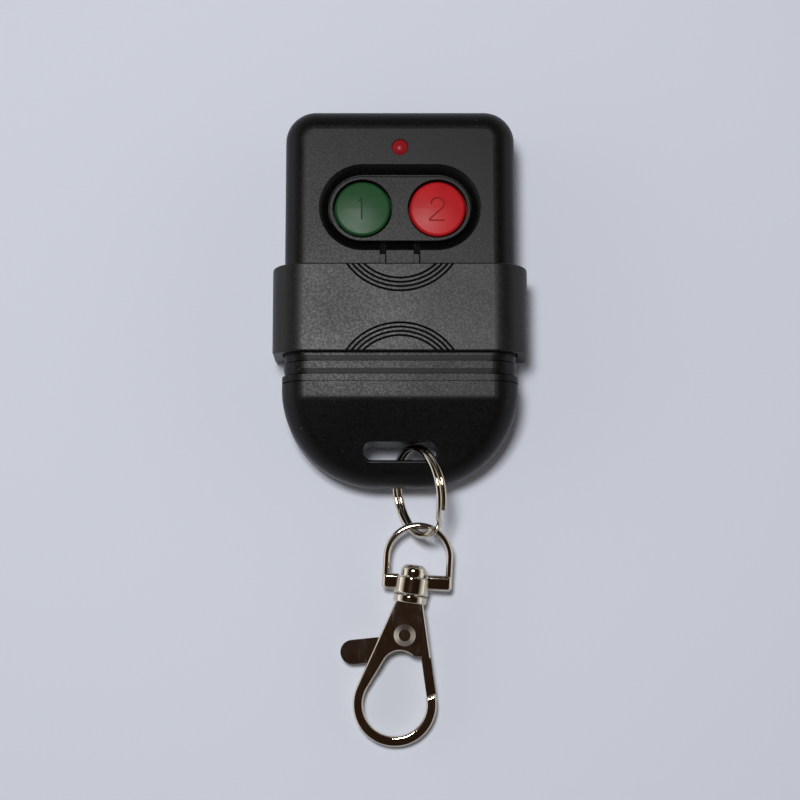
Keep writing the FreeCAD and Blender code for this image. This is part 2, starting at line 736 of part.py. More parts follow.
def click_tracks():
    """Two shallow tracks for the nibs of the cover, with a ramp into the moat and a slit at the right."""
    over = CASE_DEPTH + 1
    floor = CASE_DEPTH - TRACK_DEPTH
    mouth_y = MOAT_RIM_Y + MOAT_SLANT
    tools = []
    for middle in (-TRACK_SPACING / 2, TRACK_SPACING / 2):
        left, right = middle - TRACK_WIDTH / 2, middle + TRACK_WIDTH / 2
        side = lines([(left, TRACK_LOW_Y, over), (left, TRACK_LOW_Y, floor),
                      (left, MOAT_RIM_Y - TRACK_RAMP, floor),
                      (left, mouth_y, CASE_DEPTH - MOAT_DEPTH + TRACK_MOUTH_STEP), (left, mouth_y, over)])
        tools.append(prism(side, V(TRACK_WIDTH, 0, 0)))
        near = right - TRACK_SLIT_WIDTH
        slit = lines([(near, TRACK_LOW_Y, over), (near, TRACK_LOW_Y, floor),
                      (right, TRACK_LOW_Y, CASE_DEPTH - TRACK_SLIT_DEPTH), (right, TRACK_LOW_Y, over)])
        tools.append(prism(slit, V(0, MOAT_RIM_Y - TRACK_LOW_Y, 0)))
    return tools


def front_shell(block, hollow):
    """Upper half of the case with the button field and screw bosses."""
    shell = case_slice(block.cut(hollow), SEAM_HEIGHT, CASE_DEPTH + 1)
    backing = stadium_block(MOAT_LENGTH + 2 * WALL, MOAT_WIDTH + 2 * WALL, BUTTON_Y, FIELD_UNDER_Z,
                            CASE_DEPTH - MOAT_DEPTH + ROOT)
    parts = [shell, backing]
    for x, y in SCREW_SPOTS:
        low = BOARD_TOP_Z if y > BOARD_END_Y else SEAM_HEIGHT
        parts.append(rod(BOSS_RADIUS, x, y, low, CASE_DEPTH - 0.5 * FACE_WALL).common(block))
    shell = fused(parts)
    tools = [moat()] + click_tracks() + [score_line(SCORE_Y, (0, 0))]
    tools += [score_line(valley, VALLEY_INSETS) for valley in VALLEY_SPOTS]
    for x in (-BUTTON_SPACING / 2, BUTTON_SPACING / 2):
        tools.append(rod(BUTTON_DIAMETER / 2 + BUTTON_GAP, x, BUTTON_Y, FIELD_UNDER_Z - 1, CASE_DEPTH + 1))
    tools.append(rod(LAMP_DIAMETER / 2 + LAMP_GAP, 0, LAMP_Y, CEILING_Z - 3, CASE_DEPTH + 1))
    for x, y in SCREW_SPOTS:
        tip = COUNTERBORE_DEPTH + SCREW_LENGTH + 0.5
        tools.append(rod(SCREW_DIAMETER / 2 + SCREW_BITE_GAP, x, y, SEAM_HEIGHT - 1, tip))
    rebate_grow = SEAM_LIP_WIDTH + SEAM_GAP
    rebate = cavity_block(rebate_grow, SEAM_HEIGHT - 1, SEAM_HEIGHT + SEAM_LIP_HEIGHT + SEAM_GAP)
    tools.append(rebate.cut(rod(BOSS_RADIUS, 0, TAIL_SCREW_Y, 0, CASE_DEPTH)))
    shell = cut_all(shell, tools)
    shell = shell.cut(key_slot())
    return rounded(shell, SLOT_ROUND, lambda b: slot_edges(b) and b.ZMin > SEAM_HEIGHT + 1
                   and b.ZLength < SLOT_WIDTH)


def hem_tracks():
    """Rebates along both back edges in which the hems of the cover run."""
    inner = COVER_MOUTH_HALF - COVER_SIDE_GAP
    high = COVER_HEM_LIFT + COVER_HEM_THICKNESS + COVER_SIDE_GAP
    return mirrored_pair(box(inner, CASE_WIDTH, TAIL_Y, TOP_Y + 1, -1, high))


def contact_block(x0, x1):
    """Block that backs a battery contact, standing on the floor."""
    half = CONTACT_WIDTH / 3
    return box(x0, x1, CELL_Y - half, CELL_Y + half, FLOOR - ROOT, CELL_Z + 2 * CONTACT_RISE / 3)


def cell_cradle(x):
    """Rib across the case with a hollow that the battery lies in."""
    half, reach = CRADLE_THICKNESS / 2, CRADLE_LENGTH / 2
    rib = box(x - half, x + half, CELL_Y - reach, CELL_Y + reach, FLOOR - ROOT, CELL_Z - CELL_DIAMETER / 4)
    hollow = Part.makeCylinder(CELL_DIAMETER / 2 + SMALL_GAP, 2 * CRADLE_THICKNESS,
                               V(x - CRADLE_THICKNESS, CELL_Y, CELL_Z), X_AXIS)
    return rib.cut(hollow)


def rear_shell(block, hollow):
    """Lower half of the case with lip, posts, cradle and screw seats."""
    shell = case_slice(block.cut(hollow), -1, SEAM_HEIGHT)
    lip = cavity_block(SEAM_LIP_WIDTH, SEAM_HEIGHT - 0.5, SEAM_HEIGHT + SEAM_LIP_HEIGHT)
    lip = lip.cut(cavity_block(0, SEAM_HEIGHT - 1, CASE_DEPTH))
    boss_room = rod(BOSS_RADIUS + SEAM_GAP, 0, TAIL_SCREW_Y, SEAM_HEIGHT, CASE_DEPTH)
    parts = [shell, lip.cut(boss_room)]
    for x, y in SCREW_SPOTS:
        parts.append(rod(COUNTERBORE_RADIUS + 0.5, x, y, FLOOR - ROOT, SEAM_HEIGHT))
    post_x = HALF_CAVITY - 2 * POST_RADIUS
    for x in (-post_x, post_x):
        for y in (BOARD_END_Y + 2 * POST_RADIUS, BUTTON_Y):
            parts.append(rod(POST_RADIUS, x, y, FLOOR - ROOT, BOARD_UNDER_Z))
    parts.append(contact_block(CONTACT_PLUS_X + CONTACT_THICKNESS, HALF_CAVITY - SEAM_GAP))
    parts.append(contact_block(SEAM_GAP - HALF_CAVITY, CONTACT_MINUS_X - CONTACT_THICKNESS))
    for x in (-CELL_LENGTH / 4, CELL_LENGTH / 4):
        parts.append(cell_cradle(x))
    shell = fused(parts)
    tools = hem_tracks()
    for x, y in SCREW_SPOTS:
        tools.append(rod(COUNTERBORE_RADIUS, x, y, -1, COUNTERBORE_DEPTH))
        tools.append(rod(SCREW_DIAMETER / 2 + SCREW_GAP, x, y, -1, SEAM_HEIGHT + 1))
    shell = cut_all(shell, tools).cut(key_slot())
    return rounded(shell, SLOT_BACK_ROUND, lambda b: slot_edges(b) and b.ZMax < SEAM_HEIGHT - 1
                   and b.ZLength < SLOT_WIDTH / 2)


def case_screw(x, y):
    """Pan-head screw with a cross recess, from the back."""
    low = SCREW_HEAD_SUNK
    head = rod(SCREW_HEAD_DIAMETER / 2, x, y, low, low + SCREW_HEAD_HEIGHT)
    head = rounded(head, SCREW_HEAD_HEIGHT / 3, lambda b: b.ZMax < low + NEAR)
    shank = rod(SCREW_DIAMETER / 2, x, y, low + SCREW_HEAD_HEIGHT, low + SCREW_HEAD_HEIGHT + SCREW_LENGTH)
    arm = SCREW_HEAD_DIAMETER / 3
    half = SCREW_RECESS_WIDTH / 2
    top = low + SCREW_RECESS_DEPTH
    cross = [box(x - arm, x + arm, y - half, y + half, low - 1, top),
             box(x - half, x + half, y - arm, y + arm, low - 1, top)]
    return cut_all(fused([head, shank]), cross)


# Sliding cover

def grip_grooves():
    """Fine concentric arcs cut into the cover at both ends of its plate."""
    tools = []
    for edge_y, outward in ((COVER_LOW_Y, -1), (COVER_HIGH_Y, 1)):
        centre_y = edge_y + outward * GRIP_CENTRE_OUT
        for i in range(GRIP_COUNT):
            tools.append(ring_groove(GRIP_RADIUS - i * GRIP_PITCH, GRIP_WIDTH, GRIP_DEPTH,
                                     V(0, centre_y, COVER_TOP_Z)))
    return tools


def cover_side():
    """Side view of the cover across the case: its ends draw in toward the back."""
    x, low, high = -CASE_WIDTH, COVER_HEM_LIFT, COVER_TOP_Z + 1
    start, end = V(x, COVER_LOW_Y, high), V(x, COVER_HIGH_Y, high)
    near, far = V(x, COVER_LOW_Y + COVER_DRAFT, low), V(x, COVER_HIGH_Y - COVER_DRAFT, low)
    first, first_start, first_end = bend(start, near, far, COVER_BACK_CORNER)
    second, second_start, second_end = bend(near, far, end, COVER_BACK_CORNER)
    edges = [Part.LineSegment(start, first_start).toShape(), first,
             Part.LineSegment(first_end, second_start).toShape(), second,
             Part.LineSegment(second_end, end).toShape(), Part.LineSegment(end, start).toShape()]
    return prism(Part.Wire(edges), V(2 * CASE_WIDTH, 0, 0))


def slide_cover():
    """Sleeve that clips round the case and slides over the buttons."""
    low, high = COVER_HEM_LIFT, COVER_TOP_Z
    y0 = COVER_LOW_Y
    run = V(0, COVER_LENGTH, 0)
    corners = [V(-COVER_HALF, y0, low), V(COVER_HALF, y0, low),
               V(COVER_HALF, y0, high), V(-COVER_HALF, y0, high)]
    rounds = [COVER_BACK_ROUND, COVER_BACK_ROUND, COVER_OUTER_ROUND, COVER_OUTER_ROUND]
    sleeve = prism(rounded_wire(corners, rounds), run)
    inner_half = COVER_INNER_HALF
    hem_top = low + COVER_HEM_THICKNESS
    inner_round = FRONT_ROUND + COVER_SIDE_GAP
    corners = [V(-inner_half, y0 - 1, hem_top), V(inner_half, y0 - 1, hem_top),
               V(inner_half, y0 - 1, COVER_INNER_Z), V(-inner_half, y0 - 1, COVER_INNER_Z)]
    room = prism(rounded_wire(corners, [0, 0, inner_round, inner_round]), run + V(0, 2, 0))
    mouth = box(-COVER_MOUTH_HALF, COVER_MOUTH_HALF, y0 - 1, COVER_HIGH_Y + 1, low - 1, hem_top + 1)
    plan_half = COVER_HALF + COVER_CORNER_OUT
    plan = prism(plan_wire(plan_half, COVER_LOW_Y, COVER_HIGH_Y, COVER_CORNER, COVER_CORNER, low - 1),
                 V(0, 0, high + 2))
    cover = sleeve.cut(room).cut(mouth).common(plan).common(cover_side())
    cover = rounded(cover, COVER_EDGE, lambda b: b.YLength < TINY and b.ZMin > high - NEAR)
    x = TRACK_SPACING / 2
    nib = box(x - NIB_WIDTH / 2, x + NIB_WIDTH / 2, NIB_LOW_Y, NIB_LOW_Y + NIB_LENGTH,
              COVER_INNER_Z - NIB_HEIGHT, COVER_INNER_Z + ROOT)
    cover = fused([cover] + mirrored_pair(nib))
    return cut_all(cover, grip_grooves())


# Buttons and lamp

def numeral_stroke(edges):
    """Solid stroke along an open line of edges, drawn about the origin."""
    wire = Part.Wire(edges)
    face = wire.makeOffset2D(NUMERAL_STROKE / 2, 0, True, True)
    return face.extrude(V(0, 0, CASE_DEPTH))


def numeral_one():
    """The figure 1: an upright stroke with a short flag."""
    top = V(0, NUMERAL_HEIGHT / 2, 0)
    foot = V(0, -NUMERAL_HEIGHT / 2, 0)
    flag = V(-NUMERAL_WIDTH / 4, NUMERAL_HEIGHT / 3, 0)
    return numeral_stroke([Part.LineSegment(flag, top).toShape(), Part.LineSegment(top, foot).toShape()])


def numeral_two():
    """The figure 2: an arc, a diagonal and a foot."""
    r = NUMERAL_WIDTH / 2
    high = NUMERAL_HEIGHT / 2 - r
    start = V(-r, high, 0)
    end = V(r * cos(radians(-35)), high + r * sin(radians(-35)), 0)
    foot_left = V(-r, -NUMERAL_HEIGHT / 2, 0)
    foot_right = V(r, -NUMERAL_HEIGHT / 2, 0)
    middle = V(r * cos(radians(72)), high + r * sin(radians(72)), 0)
    edges = [Part.Arc(start, middle, end).toShape(), Part.LineSegment(end, foot_left).toShape(),
             Part.LineSegment(foot_left, foot_right).toShape()]
    return numeral_stroke(edges)


def button(x, numeral):
    """Round key with a domed top, a flange that keeps it in, and an engraved figure."""
    radius = BUTTON_DIAMETER / 2
    crown = CASE_DEPTH + BUTTON_PROUD
    rim = crown - BUTTON_DOME
    dome = dome_radius(radius, BUTTON_DOME)
    centre = V(x, BUTTON_Y, crown - dome)
    cap = rod(radius, x, BUTTON_Y, PLUNGER_TOP_Z, crown + 1).common(ball(dome, centre))
    cap = rounded(cap, BUTTON_EDGE, lambda b: abs(b.ZMin - rim) < NEAR and b.ZLength < NEAR)
    low = PLUNGER_TOP_Z
    flange = rod(radius + BUTTON_FLANGE, x, BUTTON_Y, low, low + BUTTON_FLANGE_THICKNESS)
    figure = numeral.copy()
    figure.translate(V(x, BUTTON_Y, PLUNGER_TOP_Z + 1))
    return fused([cap, flange]).cut(figure.cut(ball(dome - NUMERAL_DEPTH, centre)))


def lamp_lens():
    """Round-nosed lamp with its flange."""
    radius = LAMP_DIAMETER / 2
    tip = CASE_DEPTH + LAMP_PROUD
    low = tip - LAMP_BODY_HEIGHT
    body = rod(radius, 0, LAMP_Y, low, tip - LAMP_DOME)
    dome = dome_radius(radius, LAMP_DOME)
    nose = ball(dome, V(0, LAMP_Y, tip - dome)).common(rod(radius, 0, LAMP_Y, tip - LAMP_DOME, tip + 1))
    flange = rod(radius + LAMP_FLANGE, 0, LAMP_Y, low, low + LAMP_FLANGE_HEIGHT)
    return fused([body, nose, flange])


def upright_pin(x, y, z0, z1):
    """Round pin between two heights."""
    return rod(PIN_RADIUS, x, y, z0, z1)


def lamp_legs():
    """Two legs of the lamp, through the board."""
    low = CASE_DEPTH + LAMP_PROUD - LAMP_BODY_HEIGHT
    offset = CODE_PITCH / 2
    return [upright_pin(x, LAMP_Y, BOARD_UNDER_Z - PIN_TAIL, low) for x in (-offset, offset)]


# Board and what is on it

def switch_pin_spots():
    """Places of the pins of both push switches."""
    spots = []
    for x in (-BUTTON_SPACING / 2, BUTTON_SPACING / 2):
        for side in (-1, 1):
            for end in (-1, 1):
                spots.append((x + end * SWITCH_PIN_SPREAD / 2, BUTTON_Y + side * SWITCH_PIN_OUT))
    return spots


def code_pin_spots():
    """Places of the pins of the code switch."""
    first = -(CODE_COUNT - 1) * CODE_PITCH / 2
    return [(first + i * CODE_PITCH, CODE_Y + side * CODE_ROW_SPREAD / 2)
            for i in range(CODE_COUNT) for side in (-1, 1)]


def resonator_spots():
    """Places of the three legs of the resonator."""
    out = RESONATOR_LEG_SPREAD
    return [(-RESONATOR_OFFSET + dx, PARTS_Y + dy) for dx, dy in ((-out, 0), (out, 0), (0, out))]


def lamp_spots():
    """Places of the legs of the lamp."""
    return [(-CODE_PITCH / 2, LAMP_Y), (CODE_PITCH / 2, LAMP_Y)]


def circuit_board():
    """Board with its screw holes and pin holes."""
    half = HALF_CAVITY - BOARD_GAP
    top = TOP_Y - WALL - BOARD_GAP
    wire = plan_wire(half, BOARD_END_Y, top, BOARD_CORNER, BOARD_CORNER, BOARD_UNDER_Z)
    board = prism(wire, V(0, 0, BOARD_THICKNESS))
    spots = switch_pin_spots() + code_pin_spots() + resonator_spots() + lamp_spots()
    tools = [rod(PIN_HOLE_RADIUS, x, y, BOARD_UNDER_Z - 1, BOARD_TOP_Z + 1) for x, y in spots]
    for x, y in SCREW_SPOTS[:2]:
        tools.append(rod(SCREW_DIAMETER / 2 + SCREW_GAP, x, y, BOARD_UNDER_Z - 1, BOARD_TOP_Z + 1))
    return cut_all(board, tools)


def antenna_loop():
    """Printed copper loop on the under side of the board, open at its feed."""
    half = HALF_CAVITY - ANTENNA_FROM_SIDE
    low = BOARD_END_Y + ANTENNA_MARGIN
    high = BUTTON_Y + SWITCH_SIZE
    z = BOARD_UNDER_Z - ANTENNA_THICKNESS
    outer = box(-half, half, low, high, z, BOARD_UNDER_Z)
    inner = box(-half + ANTENNA_WIDTH, half - ANTENNA_WIDTH, low + ANTENNA_WIDTH / 2, high - ANTENNA_WIDTH,
                z - 1, BOARD_UNDER_Z + 1)
    feed = box(-ANTENNA_FEED_GAP / 2, ANTENNA_FEED_GAP / 2, high - 2 * ANTENNA_WIDTH, high + 1,
               z - 1, BOARD_UNDER_Z + 1)
    return outer.cut(inner).cut(feed)


def switch_base(x):
    """Square plastic base of a push switch, bored for its plunger."""
    half = SWITCH_SIZE / 2
    base = box(x - half, x + half, BUTTON_Y - half, BUTTON_Y + half,
               BOARD_TOP_Z, SWITCH_TOP_Z - SWITCH_PLATE)
    bore = rod(SWITCH_PLUNGER_DIAMETER / 2 + SWITCH_PLUNGER_GAP, x, BUTTON_Y,
               SWITCH_TOP_Z - SWITCH_PLUNGER_DEPTH - SWITCH_BORE_SPARE, SWITCH_TOP_Z)
    return base.cut(bore)


def switch_plate(x):
    """Metal top plate of a push switch."""
    half = SWITCH_SIZE / 2
    plate = box(x - half, x + half, BUTTON_Y - half, BUTTON_Y + half,
                SWITCH_TOP_Z - SWITCH_PLATE, SWITCH_TOP_Z)
    return plate.cut(rod(SWITCH_PLUNGER_DIAMETER / 2 + SWITCH_PLUNGER_GAP, x, BUTTON_Y,
                         SWITCH_TOP_Z - 1, SWITCH_TOP_Z + 1))


def switch_plunger(x):
    """Plunger between a button and its push switch."""
    return rod(SWITCH_PLUNGER_DIAMETER / 2, x, BUTTON_Y, SWITCH_TOP_Z - SWITCH_PLUNGER_DEPTH, PLUNGER_TOP_Z)


def switch_pins():
    """Pins at the edges of both push switches."""
    pins = []
    for x, y in switch_pin_spots():
        pins.append(upright_pin(x, y, BOARD_UNDER_Z - PIN_TAIL, BOARD_TOP_Z + SWITCH_HEIGHT / 3))
    return pins


def code_lever_x(i):
    """Place of one lever of the code switch."""
    return (i - (CODE_COUNT - 1) / 2) * CODE_PITCH


def code_body():
    """Code switch body with a well for each lever."""
    half_x, half_y = CODE_LENGTH / 2, CODE_WIDTH / 2
    body = box(-half_x, half_x, CODE_Y - half_y, CODE_Y + half_y, BOARD_TOP_Z, CODE_TOP_Z)
    tools = []
    for i in range(CODE_COUNT):
        x = code_lever_x(i)
        tools.append(box(x - CODE_WELL_WIDTH / 2, x + CODE_WELL_WIDTH / 2, CODE_Y - CODE_WELL_LENGTH / 2,
                         CODE_Y + CODE_WELL_LENGTH / 2, CODE_TOP_Z - CODE_WELL_DEPTH, CODE_TOP_Z + 1))
    return cut_all(body, tools)


def code_lever(i):
    """Lever of the code switch, at the end of its well nearer the battery."""
    x = code_lever_x(i)
    y0 = CODE_Y - CODE_WELL_LENGTH / 2 + CODE_LEVER_GAP
    return box(x - CODE_LEVER_WIDTH / 2, x + CODE_LEVER_WIDTH / 2, y0, y0 + CODE_LEVER_LENGTH,
               CODE_TOP_Z - CODE_WELL_DEPTH, CODE_TOP_Z - CODE_LEVER_SUNK)


def code_pins():
    """Two rows of pins under the code switch."""
    return [upright_pin(x, y, BOARD_UNDER_Z - PIN_TAIL, BOARD_TOP_Z) for x, y in code_pin_spots()]


def encoder_chip():
    """Encoder chip on the under side of the board."""
    return box(-CHIP_LENGTH / 2, CHIP_LENGTH / 2, CHIP_Y - CHIP_HALF_WIDTH, CHIP_Y + CHIP_HALF_WIDTH,
               CHIP_TOP_Z - CHIP_HEIGHT, CHIP_TOP_Z)


def encoder_pins():
    """Bent legs along both sides of the encoder chip."""
    pins = []
    thick = CHIP_PIN_THICKNESS
    low = CHIP_TOP_Z - (CHIP_HEIGHT + thick) / 2
    for i in range(CHIP_PIN_COUNT):
        x = (i - (CHIP_PIN_COUNT - 1) / 2) * CHIP_PIN_PITCH
        left, right = x - CHIP_PIN_WIDTH / 2, x + CHIP_PIN_WIDTH / 2
        for side in (-1, 1):
            near, far = CHIP_Y + side * CHIP_HALF_WIDTH, CHIP_Y + side * (CHIP_HALF_WIDTH + CHIP_PIN_OUT)
            outer = far - side * thick
            arm = box(left, right, min(near, far), max(near, far), low, low + thick)
            drop = box(left, right, min(outer, far), max(outer, far), low, BOARD_UNDER_Z)
            pins.append(arm.fuse(drop).removeSplitter())
    return pins


def resonator_can():
    """Round metal can of the resonator."""
    radius = RESONATOR_DIAMETER / 2
    flange = rod(radius + RESONATOR_FLANGE, -RESONATOR_OFFSET, PARTS_Y, BOARD_TOP_Z,
                 BOARD_TOP_Z + RESONATOR_FLANGE_HEIGHT)
    can = rod(radius, -RESONATOR_OFFSET, PARTS_Y, BOARD_TOP_Z, BOARD_TOP_Z + RESONATOR_HEIGHT)
    can = rounded(can, RESONATOR_ROUND, lambda b: b.ZMin > BOARD_TOP_Z + RESONATOR_HEIGHT - NEAR)
    return fused([flange, can])


def resonator_legs():
    """Three legs of the resonator."""
    return [upright_pin(x, y, BOARD_UNDER_Z - PIN_TAIL, BOARD_TOP_Z) for x, y in resonator_spots()]


def trimmer():
    """Round trimmer with a screwdriver slot."""
    x, y = RESONATOR_OFFSET, PARTS_Y
    top = BOARD_TOP_Z + TRIMMER_HEIGHT
    body = rod(TRIMMER_DIAMETER / 2, x, y, BOARD_TOP_Z, top)
    arm, half = TRIMMER_DIAMETER / 3, TRIMMER_SLOT_WIDTH / 2
    return body.cut(box(x - arm, x + arm, y - half, y + half, top - TRIMMER_SLOT_DEPTH, top + 1))


def chip_block(size, x, y):
    """Small part that lies on the board."""
    length, width, height = size
    return box(x - length / 2, x + length / 2, y - width / 2, y + width / 2,
               BOARD_TOP_Z, BOARD_TOP_Z + height)


def resistors():
    """Row of small resistors above the code switch."""
    y = (CODE_Y + CODE_WIDTH / 2 + BUTTON_Y - SWITCH_SIZE / 2) / 2
    return [chip_block(RESISTOR_SIZE, (i - (RESISTOR_COUNT - 1) / 2) * RESISTOR_PITCH, y)
            for i in range(RESISTOR_COUNT)]


def capacitors():
    """Small capacitors down both sides of the push switches."""
    x = BUTTON_SPACING / 2 + SWITCH_SIZE / 2 + CAPACITOR_FROM_SWITCH
    first = BUTTON_Y - (CAPACITOR_COUNT - 1) / 2 * CAPACITOR_PITCH
    return [chip_block(CAPACITOR_SIZE, side * x, first + i * CAPACITOR_PITCH)
            for side in (-1, 1) for i in range(CAPACITOR_COUNT)]


def transistor():
    """Small transistor between the push switches and the lamp."""
    return chip_block(TRANSISTOR_SIZE, 0, (BUTTON_Y + SWITCH_SIZE / 2 + LAMP_Y) / 2)


# Battery

def battery_cell():
    """Small round battery with its raised plus end."""
    body_length = CELL_LENGTH - CELL_NUB_LENGTH
    body = Part.makeCylinder(CELL_DIAMETER / 2, body_length, V(CELL_MINUS_X, CELL_Y, CELL_Z), X_AXIS)
    body = rounded(body, CELL_EDGE, lambda b: b.XLength < TINY)
    nub = Part.makeCylinder(CELL_NUB_DIAMETER / 2, CELL_NUB_LENGTH + ROOT,
                            V(CONTACT_PLUS_X - CELL_NUB_LENGTH - ROOT, CELL_Y, CELL_Z), X_AXIS)
    return fused([body, nub])


def battery_contact(inner_x, side):
    """Bent contact: an upright plate, an arm and a foot on the board."""
    x0, x1 = sorted((inner_x, inner_x + side * CONTACT_THICKNESS))
    low_y = CELL_Y - CONTACT_WIDTH / 2
    plate = box(x0, x1, low_y, CELL_Y + CONTACT_WIDTH / 2, FLOOR, CELL_Z + CONTACT_RISE)
    arm = box(x0, x1, low_y, BOARD_END_Y + CONTACT_FOOT, BOARD_TOP_Z, BOARD_TOP_Z + CONTACT_THICKNESS * 4)
    f0, f1 = sorted((inner_x + side * CONTACT_THICKNESS, inner_x - side * CONTACT_FOOT / 3))
    foot = box(f0, f1, BOARD_END_Y + CONTACT_FOOT_INSET, BOARD_END_Y + CONTACT_FOOT,
               BOARD_TOP_Z, BOARD_TOP_Z + CONTACT_THICKNESS)
    return fused([plate, arm, foot])


def battery_spring():
    """Coil spring between the minus contact and the battery."""
    pitch = (SPRING_LENGTH - SPRING_WIRE) / SPRING_TURNS
    coil = pipe(helix_path(SPRING_RADIUS, pitch, SPRING_TURNS), SPRING_WIRE / 2)
    start = V(CONTACT_MINUS_X + SPRING_WIRE / 2, CELL_Y, CELL_Z)
    return turned(coil, start, [(Y_AXIS, 90)])


# Key ring, bow and clasp

def ring_steps():
    """Turns that lay the ring askew through the slot."""
    return [(Z_AXIS, RING_LEAN), (X_AXIS, RING_DIP), (Y_AXIS, -RING_ROLL)]


def ring_centre():
    """Middle of the ring, at the height where its lowest point just clears the ground."""
    upright = cos(radians(RING_DIP)) * cos(radians(RING_ROLL))
    reach = RING_RADIUS * sqrt(1 - upright ** 2) + RING_PITCH / 2 * upright + RING_WIRE / 2
    return V(RING_CENTRE_X, SLOT_Y - RING_CENTRE_DROP, reach + REST_GAP)


def ring_point(angle, height):
    """Point on a turn of the ring before it is placed."""
    return V(RING_RADIUS * cos(radians(angle)), RING_RADIUS * sin(radians(angle)), height)


def ring_heading(angle):
    """Direction of the ring's wire at an angle, before it is placed."""
    return V(-sin(radians(angle)), cos(radians(angle)), 0)


def split_ring():
    """Two turns of round wire, one above the other, joined by a kink."""
    edges = []
    turn = 360.0 - RING_KINK
    start = RING_END_ANGLE
    for layer, height in enumerate((-RING_PITCH / 2, RING_PITCH / 2)):
        for i in range(4):
            a = start + i * turn / 4
            b = a + turn / 4
            edges.append(Part.Arc(ring_point(a, height), ring_point((a + b) / 2, height),
                                  ring_point(b, height)).toShape())
        if layer == 0:
            leave = start + turn
            arrive = leave + RING_KINK
            edges += biarc(ring_point(leave, height), ring_heading(leave),
                           ring_point(arrive, -height), ring_heading(arrive))
    return turned(pipe(edges, RING_WIRE / 2), ring_centre(), ring_steps())


def bow_steps():
    """Turns of the bow as it lies."""
    return [(Z_AXIS, -BOW_LEAN), (X_AXIS, BOW_RAISE)]


def clasp_steps():
    """Turns of the clasp as it lies."""
    return [(Z_AXIS, -CLASP_LEAN), (X_AXIS, CLASP_DIP)]


def swivel_origin():
    """Middle of the swivel eye: the crown of the bow hangs in the low end of the ring."""
    low = ring_centre() + rotation(ring_steps()).multVec(ring_point(-90, 0))
    crown = rotation(bow_steps()).multVec(V(BOW_EYE_OFFSET, BOW_HEIGHT - BOW_WIRE / 2, 0))
    apart = (RING_WIRE + BOW_WIRE) / 2 + BOW_HOOK_SLACK
    return V(low.x + BOW_HOOK_SIDE - crown.x, low.y + apart - crown.y, SWIVEL_Z)


def on_bow(shape):
    """Place a shape drawn in the frame of the bow."""
    return turned(shape, swivel_origin(), bow_steps())


def on_clasp(shape):
    """Place a shape drawn in the frame of the clasp."""
    return turned(shape, swivel_origin(), clasp_steps())


def along_clasp(radius, reach0, reach1):
    """Cylinder on the clasp's axis between two distances below the eye."""
    return Part.makeCylinder(radius, reach1 - reach0, V(0, -reach0, 0), V(0, -1, 0))


def swivel_bow():
    """Arched wire whose flat foot holds the swivel eye."""
    radius = (BOW_OUTER_WIDTH - BOW_WIRE) / 2
    spring_y = BOW_HEIGHT - BOW_OUTER_WIDTH / 2
    foot_low = BOW_COLLAR_RISE - BOW_COLLAR_HEIGHT
    x = BOW_EYE_OFFSET
    wire_low = foot_low + BOW_WIRE_END
    right, left = V(x + radius, wire_low, 0), V(x - radius, wire_low, 0)
    crown = V(x, spring_y + radius, 0)
    mid = radius * sqrt(0.5)
    edges = [Part.LineSegment(right, V(x + radius, spring_y, 0)).toShape(),
             Part.Arc(V(x + radius, spring_y, 0), V(x + mid, spring_y + mid, 0), crown).toShape(),
             Part.Arc(crown, V(x - mid, spring_y + mid, 0), V(x - radius, spring_y, 0)).toShape(),
             Part.LineSegment(V(x - radius, spring_y, 0), left).toShape()]
    arch = pipe(edges, BOW_WIRE / 2)
    half = BOW_COLLAR_THICKNESS / 2
    foot = box(x - BOW_OUTER_WIDTH / 2, x + BOW_OUTER_WIDTH / 2, foot_low, BOW_COLLAR_RISE, -half, half)
    foot = rounded(foot, BOW_COLLAR_END_ROUND, lambda b: b.XLength < TINY and b.ZLength < TINY)
    foot = rounded(foot, BOW_COLLAR_EDGE, lambda b: b.YLength < TINY and b.XLength > 1)
    eye_low = BOW_EYE_HEIGHT / 2
    eye = along_clasp(BOW_EYE_DIAMETER / 2, -eye_low, eye_low)
    eye = rounded(eye, BOW_EYE_EDGE, lambda b: b.YLength < TINY)
    bow = on_bow(fused([arch, foot]))
    bow = bow.fuse(on_clasp(eye)).removeSplitter()
    bore = along_clasp(POST_SHANK_DIAMETER / 2 + POST_SHANK_GAP, -BOW_HEIGHT / 2 + 1, BOW_HEIGHT / 2)
    seats = [along_clasp(POST_HEAD_DIAMETER / 2 + BOW_HEAD_GAP, -BOW_HEIGHT / 2 + 1, -eye_low),
             along_clasp(NECK_DIAMETER / 2 + BOW_NECK_GAP, eye_low, BOW_HEIGHT / 2)]
    return cut_all(bow, [on_clasp(tool) for tool in [bore] + seats])


def swivel_post():
    """Headed post that joins the clasp to the bow's eye and lets it turn."""
    seat = BOW_EYE_HEIGHT / 2 + NECK_GAP
    head = along_clasp(POST_HEAD_DIAMETER / 2, -seat - POST_HEAD_HEIGHT, -seat)
    head = rounded(head, POST_HEAD_DOME, lambda b: b.YLength < TINY and b.YMax > seat + ROOT)
    shank = along_clasp(POST_SHANK_DIAMETER / 2, -seat - ROOT, seat + POST_DEPTH)
    return on_clasp(fused([head, shank]))


